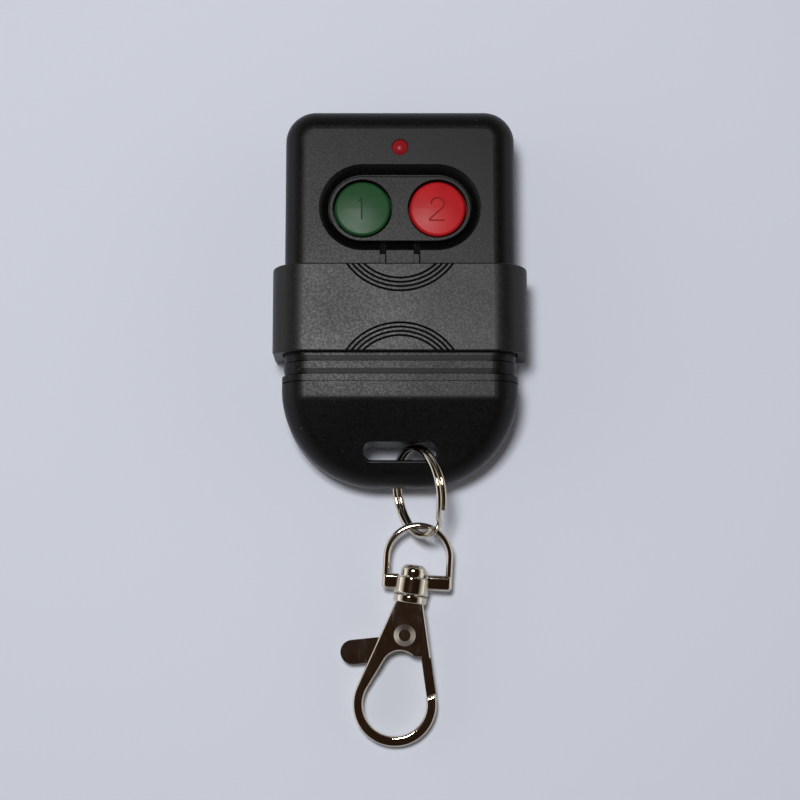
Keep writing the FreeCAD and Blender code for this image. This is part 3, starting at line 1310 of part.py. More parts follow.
def clasp_outline():
    """Outer edge of the clasp: a drop shape from the shoulder to the hook."""
    shoulder_y = -(BOW_EYE_HEIGHT / 2 + NECK_GAP + NECK_HEIGHT * 0.8)
    half = SHOULDER_WIDTH / 2
    span = HOOK_REACH + shoulder_y
    distance = hypot(half, span)
    lean = atan2(half, span)
    touch = asin(HOOK_OUTER_RADIUS / distance) - lean
    tx = HOOK_OUTER_RADIUS * cos(touch)
    ty = -HOOK_REACH + HOOK_OUTER_RADIUS * sin(touch)
    right, left = V(half, shoulder_y, 0), V(-half, shoulder_y, 0)
    edges = [Part.LineSegment(left, right).toShape(), Part.LineSegment(right, V(tx, ty, 0)).toShape(),
             Part.Arc(V(tx, ty, 0), V(0, -HOOK_REACH - HOOK_OUTER_RADIUS, 0), V(-tx, ty, 0)).toShape(),
             Part.LineSegment(V(-tx, ty, 0), left).toShape()]
    return Part.Wire(edges), touch


def eye_outline():
    """Inner edge of the clasp: a drop shape round the hook opening."""
    gap = HOOK_REACH - EYE_TOP_REACH
    touch = asin((HOOK_INNER_RADIUS - EYE_TOP_RADIUS) / gap)
    x1, y1 = HOOK_INNER_RADIUS * cos(touch), -HOOK_REACH + HOOK_INNER_RADIUS * sin(touch)
    x2, y2 = EYE_TOP_RADIUS * cos(touch), -EYE_TOP_REACH + EYE_TOP_RADIUS * sin(touch)
    edges = [Part.Arc(V(x1, y1, 0), V(0, -HOOK_REACH - HOOK_INNER_RADIUS, 0), V(-x1, y1, 0)).toShape(),
             Part.LineSegment(V(-x1, y1, 0), V(-x2, y2, 0)).toShape(),
             Part.Arc(V(-x2, y2, 0), V(0, -EYE_TOP_REACH + EYE_TOP_RADIUS, 0), V(x2, y2, 0)).toShape(),
             Part.LineSegment(V(x2, y2, 0), V(x1, y1, 0)).toShape()]
    return Part.Wire(edges)


def slab(wire, thickness):
    """Solid of even thickness about the middle plane of the clasp."""
    return prism(wire.translated(V(0, 0, -thickness / 2)), V(0, 0, thickness))


def gate_room(radius, top):
    """Room for the gate: right of the axis, below top, within a swing about the pivot."""
    swing = rod(radius, 0, -PIVOT_REACH, -OVERRUN, OVERRUN)
    return swing.common(box(0, CLASP_SPAN, -PIVOT_REACH - radius, -top, -OVERRUN, OVERRUN))


def clasp_body():
    """Clasp frame: neck, forked shoulder and hook."""
    outline, _ = clasp_outline()
    split = EYE_TOP_REACH + EYE_TOP_RADIUS * 0.4
    upper = box(-CLASP_SPAN, CLASP_SPAN, -split, 0, -OVERRUN, OVERRUN)
    thick = slab(outline, CLASP_THICKNESS).common(upper)
    thin = slab(outline, HOOK_THICKNESS)
    frame = fused([thick, thin])
    frame = frame.cut(slab(eye_outline(), 2 * CLASP_THICKNESS))
    frame = frame.cut(gate_room(GATE_SWING_RADIUS, GATE_TOP_REACH))

    def rim(b):
        flat = b.ZLength < TINY
        on_thick = abs(abs(b.ZMin) - CLASP_THICKNESS / 2) < TINY
        on_thin = abs(abs(b.ZMin) - HOOK_THICKNESS / 2) < TINY and b.YMax < -split
        return flat and (on_thick or on_thin) and b.YMax < -BOW_EYE_HEIGHT / 2 and b.YLength > CLASP_EDGE

    frame = rounded(frame, CLASP_EDGE, rim)
    low = BOW_EYE_HEIGHT / 2 + NECK_GAP
    neck = along_clasp(NECK_DIAMETER / 2, low, low + NECK_HEIGHT)
    neck = rounded(neck, NECK_EDGE, lambda b: b.YLength < TINY)
    frame = fused([frame, neck])
    half = FORK_SLOT / 2
    fork = box(-CLASP_SPAN, CLASP_SPAN, -GATE_TOP_REACH - 1, -FORK_TOP_REACH, -half, half)
    window = box(-CLASP_SPAN, -1.0, -FORK_LEFT_REACH, -FORK_TOP_REACH, -half, half)
    pin = rod(PIVOT_DIAMETER / 2 + SMALL_GAP, 0, -PIVOT_REACH, -OVERRUN, OVERRUN)
    bore = along_clasp(POST_SHANK_DIAMETER / 2 + SMALL_GAP, 0, low + POST_DEPTH)
    return on_clasp(cut_all(frame, [fork, window, pin, bore]))


def clasp_rivet():
    """Rivet with two bevelled heads that the lever turns on."""
    half = CLASP_THICKNESS / 2
    shank = rod(PIVOT_DIAMETER / 2, 0, -PIVOT_REACH, -half, half)
    heads = [Part.makeCone(PIVOT_HEAD_DIAMETER / 2, PIVOT_FLAT_DIAMETER / 2, PIVOT_HEAD_HEIGHT,
                           V(0, -PIVOT_REACH, side * half), V(0, 0, side)) for side in (-1, 1)]
    return on_clasp(fused([shank] + heads))


def lever_levels():
    """Lower and upper face of the lever inside the fork."""
    low = -FORK_SLOT / 2 + LEVER_GAP
    return low, low + LEVER_THICKNESS


def gate_arm():
    """Outer arm of the lever, which closes the hook."""
    outline, touch = clasp_outline()
    outer = slab(outline, HOOK_THICKNESS)
    inner = outer.copy()
    inner.translate(V(-GATE_WIDTH / cos(touch), 0, 0))
    room = gate_room(GATE_SWING_RADIUS - GATE_GAP, GATE_TOP_REACH + GATE_GAP)
    return outer.cut(inner).common(room)


def clasp_lever():
    """Lever: thumb tab, pivot boss, link and gate arm."""
    low, high = lever_levels()
    tilt = radians(TAB_TILT)
    r = TAB_WIDTH / 2
    along = V(cos(tilt), sin(tilt), 0)
    end = V(TAB_END_X, -TAB_END_REACH, low)
    root = end + along * (-TAB_END_X / cos(tilt))
    side = V(-sin(tilt), cos(tilt), 0) * r
    tip = end - along * r
    edges = [Part.LineSegment(root - side, root + side).toShape(),
             Part.LineSegment(root + side, end + side).toShape(),
             Part.Arc(end + side, tip, end - side).toShape(),
             Part.LineSegment(end - side, root - side).toShape()]
    tab = prism(Part.Wire(edges), V(0, 0, high - low))
    eye = slab(eye_outline(), 2 * CLASP_THICKNESS)
    tab = tab.cut(eye)
    boss = rod(LEVER_BOSS_RADIUS, 0, -PIVOT_REACH, low, high)
    outline, touch = clasp_outline()
    lean = V(sin(touch), -cos(touch), 0)
    gate_x = clasp_half_width(GATE_TOP_REACH) - 0.1
    link = lines([(0, -PIVOT_REACH + LEVER_BOSS_RADIUS * 0.9, low), (gate_x - 1.2, -PIVOT_REACH + 0.6, low),
                  (gate_x, -GATE_TOP_REACH + 1.0, low), (gate_x + 0.3, -GATE_TOP_REACH - 1.2, low),
                  (gate_x - 1.0, -GATE_TOP_REACH - 1.2, low), (gate_x - 1.35, -GATE_TOP_REACH + 0.1, low),
                  (0, -PIVOT_REACH - LEVER_BOSS_RADIUS * 0.9, low)])
    link = prism(link, V(0, 0, high - low)).common(slab(outline, CLASP_THICKNESS))
    lever = fused([tab, boss, link, gate_arm()])
    return on_clasp(lever.cut(rod(PIVOT_DIAMETER / 2 + PIVOT_GAP, 0, -PIVOT_REACH, -OVERRUN, OVERRUN)))


def clasp_half_width(reach):
    """Half the clasp's width at a distance below the eye."""
    outline, touch = clasp_outline()
    tx = HOOK_OUTER_RADIUS * cos(touch)
    ty = HOOK_REACH - HOOK_OUTER_RADIUS * sin(touch)
    return tx - (ty - reach) * tan(touch)


def lever_spring():
    """Small coil round the rivet with two legs that push the gate shut."""
    pitch = COIL_WIRE * 1.15
    _, high = lever_levels()
    edges = helix_path(COIL_RADIUS, pitch, COIL_TURNS, pi)
    start = edges[0].valueAt(edges[0].FirstParameter)
    leg = Part.LineSegment(start + V(0, COIL_LEG, 0), start).toShape()
    coil = pipe([leg] + edges, COIL_WIRE / 2)
    coil.translate(V(0, -PIVOT_REACH, high + COIL_WIRE / 2 + 0.03))
    return on_clasp(coil)


# Everything, by node name

def build():
    """All nodes of the remote."""
    block, hollow = case_block(), cavity()
    half = BUTTON_SPACING / 2
    nodes = {
        "front_shell": front_shell(block, hollow),
        "rear_shell": rear_shell(block, hollow),
        "case_screws": Part.makeCompound([case_screw(x, y) for x, y in SCREW_SPOTS]),
        "slide_cover": slide_cover(),
        "green_button": button(-half, numeral_one()),
        "red_button": button(half, numeral_two()),
        "lamp_lens": lamp_lens(),
        "lamp_legs": Part.makeCompound(lamp_legs()),
        "circuit_board": circuit_board(),
        "antenna_loop": antenna_loop(),
        "switch_bases": Part.makeCompound([switch_base(-half), switch_base(half)]),
        "switch_plates": Part.makeCompound([switch_plate(-half), switch_plate(half)]),
        "switch_pins": Part.makeCompound(switch_pins()),
        "switch_plunger_green": switch_plunger(-half),
        "switch_plunger_red": switch_plunger(half),
        "code_switch": code_body(),
        "code_switch_pins": Part.makeCompound(code_pins()),
        "encoder_chip": encoder_chip(),
        "encoder_pins": Part.makeCompound(encoder_pins()),
        "resonator_can": resonator_can(),
        "resonator_legs": Part.makeCompound(resonator_legs()),
        "trimmer": trimmer(),
        "transistor": transistor(),
        "resistors": Part.makeCompound(resistors()),
        "capacitors": Part.makeCompound(capacitors()),
        "battery_cell": battery_cell(),
        "battery_contact_plus": battery_contact(CONTACT_PLUS_X, 1),
        "battery_contact_minus": battery_contact(CONTACT_MINUS_X, -1),
        "battery_spring": battery_spring(),
        "split_ring": split_ring(),
        "swivel_bow": swivel_bow(),
        "swivel_post": swivel_post(),
        "clasp_body": clasp_body(),
        "clasp_rivet": clasp_rivet(),
        "clasp_lever": clasp_lever(),
        "lever_spring": lever_spring(),
    }
    for i in range(CODE_COUNT):
        nodes["code_lever_%d" % (i + 1)] = code_lever(i)
    return nodes


def main():
    """Write one STEP file for each node."""
    os.makedirs("parts", exist_ok=True)
    for name, shape in build().items():
        shape.exportStep("parts/%s.step" % name)
    print("cover travel %.2f mm" % COVER_TRAVEL)


main()
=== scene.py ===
"""Looks of a two-button gate remote that lies on its back with its ring and clasp.

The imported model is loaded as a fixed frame. Each sub-assembly below dresses its
own pieces, and the studio adds the floor, the light and the camera. Metres.
"""

import functools
import logging
import math
from dataclasses import dataclass, field
from enum import Enum
from typing import Any

import bpy
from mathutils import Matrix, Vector

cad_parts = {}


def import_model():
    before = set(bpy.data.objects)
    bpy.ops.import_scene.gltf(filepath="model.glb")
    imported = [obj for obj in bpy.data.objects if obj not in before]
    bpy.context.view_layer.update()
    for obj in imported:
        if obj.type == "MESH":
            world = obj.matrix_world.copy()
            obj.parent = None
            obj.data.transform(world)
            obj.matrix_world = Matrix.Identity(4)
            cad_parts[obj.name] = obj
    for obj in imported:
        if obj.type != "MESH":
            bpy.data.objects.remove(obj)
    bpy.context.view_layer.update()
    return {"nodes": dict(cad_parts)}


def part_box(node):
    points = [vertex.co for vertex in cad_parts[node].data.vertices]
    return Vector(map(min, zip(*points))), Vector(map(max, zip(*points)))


LOG = logging.getLogger("gate_remote")
MM = 0.001

Colour = tuple[float, float, float]
Span = tuple[float, float]
Socket = bpy.types.NodeSocket

UNIT: Span = (0.0, 1.0)


def grey(level: float) -> Colour:
    """Neutral colour of one level."""
    return (level, level, level)


class NodeTree:
    """Thin helper that adds and joins nodes in one tree.

    The colour sockets of a Mix node share their names with those of its other
    types, so they are found by number: factor, first colour, second colour.
    """

    MIX_INPUTS = (0, 6, 7)
    MIX_RESULT = 2

    def __init__(self, tree: bpy.types.NodeTree) -> None:
        """Keep the tree that the nodes go into."""
        self.tree = tree

    def add(self, kind: str, **settings: Any) -> bpy.types.Node:
        """Add a node.

        Args:
            kind: Blender's name of the node type.
            settings: properties of the node.

        Returns:
            The new node.
        """
        node = self.tree.nodes.new(kind)
        for name, value in settings.items():
            setattr(node, name, value)
        return node

    def put(self, socket: Socket, value: Any) -> None:
        """Link a socket to an input, or set the input's value.

        Args:
            socket: the input.
            value: a socket to link, a plain colour or a number.
        """
        if isinstance(value, Socket):
            self.tree.links.new(value, socket)
        elif isinstance(value, tuple) and len(value) == 3 and socket.type == "RGBA":
            socket.default_value = (*value, 1.0)
        else:
            socket.default_value = value

    def math(self, operation: str, first: Any, second: Any = 0.0) -> Socket:
        """Result of a Math node.

        Args:
            operation: Blender's name of the operation.
            first: first value or socket.
            second: second value or socket, if the operation takes two.

        Returns:
            The result.
        """
        node = self.add("ShaderNodeMath", operation=operation)
        self.put(node.inputs[0], first)
        self.put(node.inputs[1], second)
        return node.outputs[0]

    def mix(self, factor: Any, low: Any, high: Any) -> Socket:
        """Colour between two colours.

        Args:
            factor: share of the second colour.
            low: colour at factor 0.
            high: colour at factor 1.

        Returns:
            The mixed colour.
        """
        node = self.add("ShaderNodeMix", data_type="RGBA")
        for index, value in zip(self.MIX_INPUTS, (factor, low, high)):
            self.put(node.inputs[index], value)
        return node.outputs[self.MIX_RESULT]

    def span(self, value: Any, source: Span, target: Span = UNIT) -> Socket:
        """Value mapped from one range to another and held at its ends.

        Args:
            value: what is mapped.
            source: the value's own range, which may run downwards.
            target: the range that it is mapped to.

        Returns:
            The mapped value.
        """
        node = self.add("ShaderNodeMapRange", clamp=True)
        for index, item in enumerate((value, *source, *target)):
            self.put(node.inputs[index], item)
        return node.outputs[0]

    def noise(self, position: Socket, scale: Any, detail: float = 2.0) -> Socket:
        """Plain noise between 0 and 1.

        Args:
            position: where the noise is read.
            scale: cells of the noise per metre.
            detail: finer layers on top of the first one.

        Returns:
            The noise.
        """
        node = self.add("ShaderNodeTexNoise")
        self.put(node.inputs["Vector"], position)
        self.put(node.inputs["Scale"], scale)
        self.put(node.inputs["Detail"], detail)
        return node.outputs["Fac"]


class Effect:
    """A node group that several finishes share, built once."""

    name = ""
    inputs: dict[str, float] = {}
    outputs: tuple[str, ...] = ()

    @classmethod
    def group(cls) -> bpy.types.NodeTree:
        """The node group, made the first time that it is asked for.

        Returns:
            The group's tree.
        """
        found = bpy.data.node_groups.get(cls.name)
        if found:
            return found
        tree = bpy.data.node_groups.new(cls.name, "ShaderNodeTree")
        for name, value in cls.inputs.items():
            socket = tree.interface.new_socket(name, in_out="INPUT", socket_type="NodeSocketFloat")
            socket.default_value = value
        for name in cls.outputs:
            tree.interface.new_socket(name, in_out="OUTPUT", socket_type="NodeSocketFloat")
        helper = NodeTree(tree)
        source = helper.add("NodeGroupInput")
        sink = helper.add("NodeGroupOutput")
        position = helper.add("ShaderNodeTexCoord").outputs["Object"]
        for name, socket in cls.build(helper, source, position).items():
            helper.put(sink.inputs[name], socket)
        return tree

    @classmethod
    def build(cls, tree: NodeTree, source: bpy.types.Node, position: Socket) -> dict[str, Socket]:
        """Nodes of the effect.

        Args:
            tree: helper for the group's own tree.
            source: the group's inputs.
            position: object coordinates in metres.

        Returns:
            One socket for each output.
        """
        raise NotImplementedError

    @classmethod
    def place(cls, tree: NodeTree, **values: float) -> dict[str, Socket]:
        """Put the effect into a material.

        Args:
            tree: helper for the material's tree.
            values: the effect's inputs by name, with spaces as underscores.

        Returns:
            The effect's outputs by name.
        """
        node = tree.add("ShaderNodeGroup", node_tree=cls.group())
        for name, value in values.items():
            tree.put(node.inputs[name.replace("_", " ").capitalize()], value)
        return {name: node.outputs[name] for name in cls.outputs}


class MouldGrain(Effect):
    """Fine matt grain of a spark-eroded mould."""

    name = "mould_grain"
    inputs = {"Grains per metre": 3600.0, "Unevenness": 0.5}
    outputs = ("Height", "Speckle")
    pit_scale = 1.6
    coarse_scale = 0.7
    speckle_span: Span = (0.35, 0.65)

    @classmethod
    def build(cls, tree: NodeTree, source: bpy.types.Node, position: Socket) -> dict[str, Socket]:
        """Fine pits with coarser noise under them, and a slower noise for speckle.

        Args:
            tree: helper for the group's own tree.
            source: the group's inputs.
            position: object coordinates in metres.

        Returns:
            Height and speckle, the second between 0 and 1.
        """
        scale = source.outputs["Grains per metre"]
        pits = tree.noise(position, tree.math("MULTIPLY", scale, cls.pit_scale))
        coarse = tree.noise(position, tree.math("MULTIPLY", scale, cls.coarse_scale), detail=1.0)
        height = tree.math("ADD", pits, tree.math("MULTIPLY", coarse, source.outputs["Unevenness"]))
        speckle = tree.noise(position, scale, detail=3.0)
        return {"Height": height, "Speckle": tree.span(speckle, cls.speckle_span)}


class Handling(Effect):
    """Broad patches where hands have polished or dulled a surface, and dust."""

    name = "handling"
    inputs = {"Patch scale": 90.0, "Dust scale": 2600.0, "Dust share": 0.02}
    outputs = ("Patches", "Dust")
    patch_span: Span = (0.3, 0.7)
    dust_limit = 0.80

    @classmethod
    def build(cls, tree: NodeTree, source: bpy.types.Node, position: Socket) -> dict[str, Socket]:
        """Slow noise for patches and sparse points for dust.

        Args:
            tree: helper for the group's own tree.
            source: the group's inputs.
            position: object coordinates in metres.

        Returns:
            Patches between 0 and 1, and dust as 0 or 1.
        """
        patches = tree.noise(position, source.outputs["Patch scale"], detail=4.0)
        points = tree.noise(position, source.outputs["Dust scale"], detail=1.0)
        limit = tree.math("SUBTRACT", cls.dust_limit, source.outputs["Dust share"])
        dust = tree.math("GREATER_THAN", points, limit)
        return {"Patches": tree.span(patches, cls.patch_span), "Dust": dust}


class Scratches(Effect):
    """Fine rubbing marks in several directions on plated metal."""

    name = "scratches"
    inputs = {"Lines per metre": 2600.0, "Length": 14.0}
    outputs = ("Height", "Marks")
    turns = (0.3, 1.4, 2.6)
    tilts = (0.7, 0.4, 1.0)
    mark_span: Span = (0.64, 0.76)

    @classmethod
    def build(cls, tree: NodeTree, source: bpy.types.Node, position: Socket) -> dict[str, Socket]:
        """Stretched noise at three angles.

        Args:
            tree: helper for the group's own tree.
            source: the group's inputs.
            position: object coordinates in metres.

        Returns:
            Height below the surface and the marks themselves.
        """
        total = None
        for turn in cls.turns:
            mapping = tree.add("ShaderNodeMapping")
            tree.put(mapping.inputs["Vector"], position)
            mapping.inputs["Rotation"].default_value = tuple(turn * tilt for tilt in cls.tilts)
            squeeze = tree.add("ShaderNodeCombineXYZ")
            tree.put(squeeze.inputs[0], 1.0)
            tree.put(squeeze.inputs[1], tree.math("DIVIDE", 1.0, source.outputs["Length"]))
            tree.put(squeeze.inputs[2], 1.0)
            tree.put(mapping.inputs["Scale"], squeeze.outputs[0])
            lines = tree.noise(mapping.outputs[0], source.outputs["Lines per metre"])
            marks = tree.span(lines, cls.mark_span)
            total = marks if total is None else tree.math("MAXIMUM", total, marks)
        return {"Height": tree.math("MULTIPLY", total, -1.0), "Marks": total}


class EdgeWear(Effect):
    """Mask of sharp edges, broken up by noise."""

    name = "edge_wear"
    inputs = {"Radius": 0.2 * MM, "Break scale": 900.0}
    outputs = ("Mask",)
    edge_span: Span = (0.995, 0.93)
    break_span: Span = (0.35, 0.6)

    @classmethod
    def build(cls, tree: NodeTree, source: bpy.types.Node, position: Socket) -> dict[str, Socket]:
        """Difference between the rounded and the true normal.

        Args:
            tree: helper for the group's own tree.
            source: the group's inputs.
            position: object coordinates in metres.

        Returns:
            The mask, 1 on a worn edge.
        """
        soft = tree.add("ShaderNodeBevel", samples=4)
        tree.put(soft.inputs["Radius"], source.outputs["Radius"])
        geometry = tree.add("ShaderNodeNewGeometry")
        dot = tree.add("ShaderNodeVectorMath", operation="DOT_PRODUCT")
        tree.put(dot.inputs[0], soft.outputs[0])
        tree.put(dot.inputs[1], geometry.outputs["Normal"])
        edge = tree.span(dot.outputs["Value"], cls.edge_span)
        breaks = tree.noise(position, source.outputs["Break scale"], detail=3.0)
        return {"Mask": tree.math("MULTIPLY", edge, tree.span(breaks, cls.break_span))}


@dataclass(frozen=True)
class Finish:
    """A surface finish that becomes one material."""

    name: str
    colour: Colour

    @functools.cache
    def material(self) -> bpy.types.Material:
        """The finish as a material, made the first time that it is asked for.

        Returns:
            The material.
        """
        made = bpy.data.materials.new(self.name)
        made.use_nodes = True
        made.diffuse_color = (*self.colour, 1.0)
        made.node_tree.nodes.clear()
        tree = NodeTree(made.node_tree)
        shader = tree.add("ShaderNodeBsdfPrincipled")
        output = tree.add("ShaderNodeOutputMaterial")
        tree.put(output.inputs["Surface"], shader.outputs["BSDF"])
        self.dress(tree, shader)
        return made

    def dress(self, tree: NodeTree, shader: bpy.types.Node) -> None:
        """Set the shader's sockets for this finish.

        Args:
            tree: helper for the material's tree.
            shader: the material's Principled BSDF.
        """
        raise NotImplementedError

    def bump(self, tree: NodeTree, shader: bpy.types.Node, height: Socket, depth: float) -> None:
        """Raise the surface by a height.

        Args:
            tree: helper for the material's tree.
            shader: the material's Principled BSDF.
            height: height between 0 and 1.
            depth: metres at full height.
        """
        node = tree.add("ShaderNodeBump")
        tree.put(node.inputs["Height"], height)
        tree.put(node.inputs["Strength"], 1.0)
        tree.put(node.inputs["Distance"], depth)
        tree.put(shader.inputs["Normal"], node.outputs[0])


@dataclass(frozen=True)
class MouldedPlastic(Finish):
    """Grained thermoplastic that hands have handled."""

    roughness: float = 0.5
    grain_depth: float = 0.012 * MM
    grains: float = 3600.0
    speckle: float = 0.25
    dust: float = 0.02
    gloss: float = 0.5
    mottle: float = 0.04
    polish: float = 0.03
    dust_gain: float = 2.0
    dust_level: float = 0.06

    def dress(self, tree: NodeTree, shader: bpy.types.Node) -> None:
        """Grain, speckle, handling marks and dust.

        Args:
            tree: helper for the material's tree.
            shader: the material's Principled BSDF.
        """
        grain = MouldGrain.place(tree, grains_per_metre=self.grains)
        marks = Handling.place(tree, dust_share=self.dust)
        low = tuple(c * (1 - self.speckle) for c in self.colour)
        high = tuple(c * (1 + self.speckle) for c in self.colour)
        base = tree.mix(grain["Speckle"], low, high)
        pale = tuple(min(1.0, c * self.dust_gain + self.dust_level) for c in self.colour)
        tree.put(shader.inputs["Base Color"], tree.mix(marks["Dust"], base, pale))
        handled = (self.roughness - self.polish, self.roughness + self.polish)
        rough = tree.span(marks["Patches"], UNIT, handled)
        mottled = tree.span(grain["Speckle"], UNIT, (-self.mottle, self.mottle))
        tree.put(shader.inputs["Roughness"], tree.math("ADD", rough, mottled))
        shader.inputs["Specular IOR Level"].default_value = self.gloss
        self.bump(tree, shader, grain["Height"], self.grain_depth)


@dataclass(frozen=True)
class GlossPlastic(Finish):
    """Smooth moulded plastic with faint streaks."""

    roughness: float = 0.4
    ripple: float = 0.002 * MM
    coat: float = 0.0
    coat_roughness: float = 0.08
    gloss: float = 0.5
    drift: Span = (0.88, 1.1)
    polish: Span = (-0.03, 0.05)
    patch_scale: float = 260.0
    grains: float = 5200.0

    def dress(self, tree: NodeTree, shader: bpy.types.Node) -> None:
        """Slight colour drift, ripple and polish.

        Args:
            tree: helper for the material's tree.
            shader: the material's Principled BSDF.
        """
        marks = Handling.place(tree, patch_scale=self.patch_scale)
        low, high = (tuple(min(1.0, c * share) for c in self.colour) for share in self.drift)
        tree.put(shader.inputs["Base Color"], tree.mix(marks["Patches"], low, high))
        handled = tuple(self.roughness + change for change in self.polish)
        tree.put(shader.inputs["Roughness"], tree.span(marks["Patches"], UNIT, handled))
        shader.inputs["Specular IOR Level"].default_value = self.gloss
        shader.inputs["Coat Weight"].default_value = self.coat
        shader.inputs["Coat Roughness"].default_value = self.coat_roughness
        grain = MouldGrain.place(tree, grains_per_metre=self.grains)
        self.bump(tree, shader, grain["Height"], self.ripple)


@dataclass(frozen=True)
class PlatedMetal(Finish):
    """Nickel plate or bare steel with rubbed edges and fine scratches."""

    roughness: float = 0.06
    worn: Colour = (0.72, 0.68, 0.60)
    tarnish: Colour = (0.34, 0.27, 0.20)
    tarnish_share: float = 0.30
    patch_scale: float = 420.0
    polish: Span = (0.8, 1.4)
    scratch_roughness: float = 0.03
    scratch_depth: float = 0.0003 * MM

    def dress(self, tree: NodeTree, shader: bpy.types.Node) -> None:
        """Plate, tarnish in patches, bright edges and scratches.

        Args:
            tree: helper for the material's tree.
            shader: the material's Principled BSDF.
        """
        marks = Handling.place(tree, patch_scale=self.patch_scale)
        scratches = Scratches.place(tree)
        wear = EdgeWear.place(tree)
        stained = tree.math("MULTIPLY", marks["Patches"], self.tarnish_share)
        base = tree.mix(stained, self.colour, self.tarnish)
        tree.put(shader.inputs["Base Color"], tree.mix(wear["Mask"], base, self.worn))
        shader.inputs["Metallic"].default_value = 1.0
        handled = tuple(self.roughness * share for share in self.polish)
        soft = tree.span(marks["Patches"], UNIT, handled)
        rubbed = tree.math("MULTIPLY", scratches["Marks"], self.scratch_roughness)
        tree.put(shader.inputs["Roughness"], tree.math("ADD", soft, rubbed))
        self.bump(tree, shader, scratches["Height"], self.scratch_depth)


class Finishes(Enum):
    """Every finish on the remote."""

    CASE = MouldedPlastic("case_black_grain", grey(0.0025), roughness=0.40, gloss=0.22,
                          grains=3000.0, grain_depth=0.008 * MM, mottle=0.06)
    COVER = MouldedPlastic("cover_black_grain", grey(0.006), roughness=0.43, gloss=0.34,
                           grains=3000.0, grain_depth=0.010 * MM, mottle=0.06)
    GREEN = GlossPlastic("button_green", (0.0167, 0.0746, 0.025), roughness=0.34, gloss=0.16)
    RED = GlossPlastic("button_red", (0.49, 0.014, 0.0176), roughness=0.34, gloss=0.12)
    LAMP = GlossPlastic("lamp_lens_red", (0.26, 0.009, 0.013), roughness=0.3, gloss=0.16,
                        ripple=0.0)
    NICKEL = PlatedMetal("nickel_plate", (0.66, 0.60, 0.50))
    STEEL = PlatedMetal("zinc_steel", grey(0.55), roughness=0.3, tarnish=grey(0.3))
    SPRING = PlatedMetal("spring_wire", (0.50, 0.50, 0.51), roughness=0.26, tarnish=grey(0.25))
    COPPER = PlatedMetal("copper_track", (0.72, 0.40, 0.22), roughness=0.35)
    BOARD = MouldedPlastic("paper_laminate", (0.42, 0.27, 0.11), roughness=0.6, grains=1500.0)
    CHIP = MouldedPlastic("moulded_epoxy", grey(0.03), roughness=0.55, grains=6000.0)
    NYLON = MouldedPlastic("switch_nylon", grey(0.05), roughness=0.5, grains=6000.0)
    CODE_BLUE = GlossPlastic("code_switch_blue", (0.03, 0.09, 0.38), roughness=0.35)
    CODE_WHITE = GlossPlastic("code_lever_white", (0.80, 0.80, 0.77), roughness=0.4)
    TRIMMER = GlossPlastic("trimmer_ceramic", (0.55, 0.20, 0.04), roughness=0.45)
    RESISTOR = MouldedPlastic("thick_film", grey(0.04), roughness=0.4, grains=8000.0)
    CAPACITOR = MouldedPlastic("bare_ceramic", (0.42, 0.28, 0.15), roughness=0.6, grains=8000.0)
    CELL = GlossPlastic("cell_sleeve", (0.05, 0.06, 0.09), roughness=0.3, coat=0.3)

    def material(self) -> bpy.types.Material:
        """The material of this finish."""
        return self.value.material()


Nodes = dict[str, bpy.types.Object]


@dataclass
class SubAssembly:
    """Pieces that belong together and the finish of each."""

    nodes: Nodes
    finishes: dict[str, Finishes] = field(default_factory=dict)

    def build(self) -> None:
        """Dress every node of the sub-assembly."""
        for name, finish in self.finishes.items():
            self.dress(name, finish)

    def dress(self, name: str, finish: Finishes) -> None:
        """Give a carried-over node its finish.

        Args:
            name: the node's name.
            finish: what it is finished in.
        """
        piece = self.nodes[name]
        piece.data.materials.clear()
        piece.data.materials.append(finish.material())
        LOG.info("%s is finished in %s", name, finish.value.name)


@dataclass
class Case(SubAssembly):
    """Both shells, their screws and the sliding cover."""

    def __post_init__(self) -> None:
        """Choose the finishes."""
        self.finishes = {
            "front_shell": Finishes.CASE,
            "rear_shell": Finishes.CASE,
            "case_screws": Finishes.STEEL,
            "slide_cover": Finishes.COVER,
        }


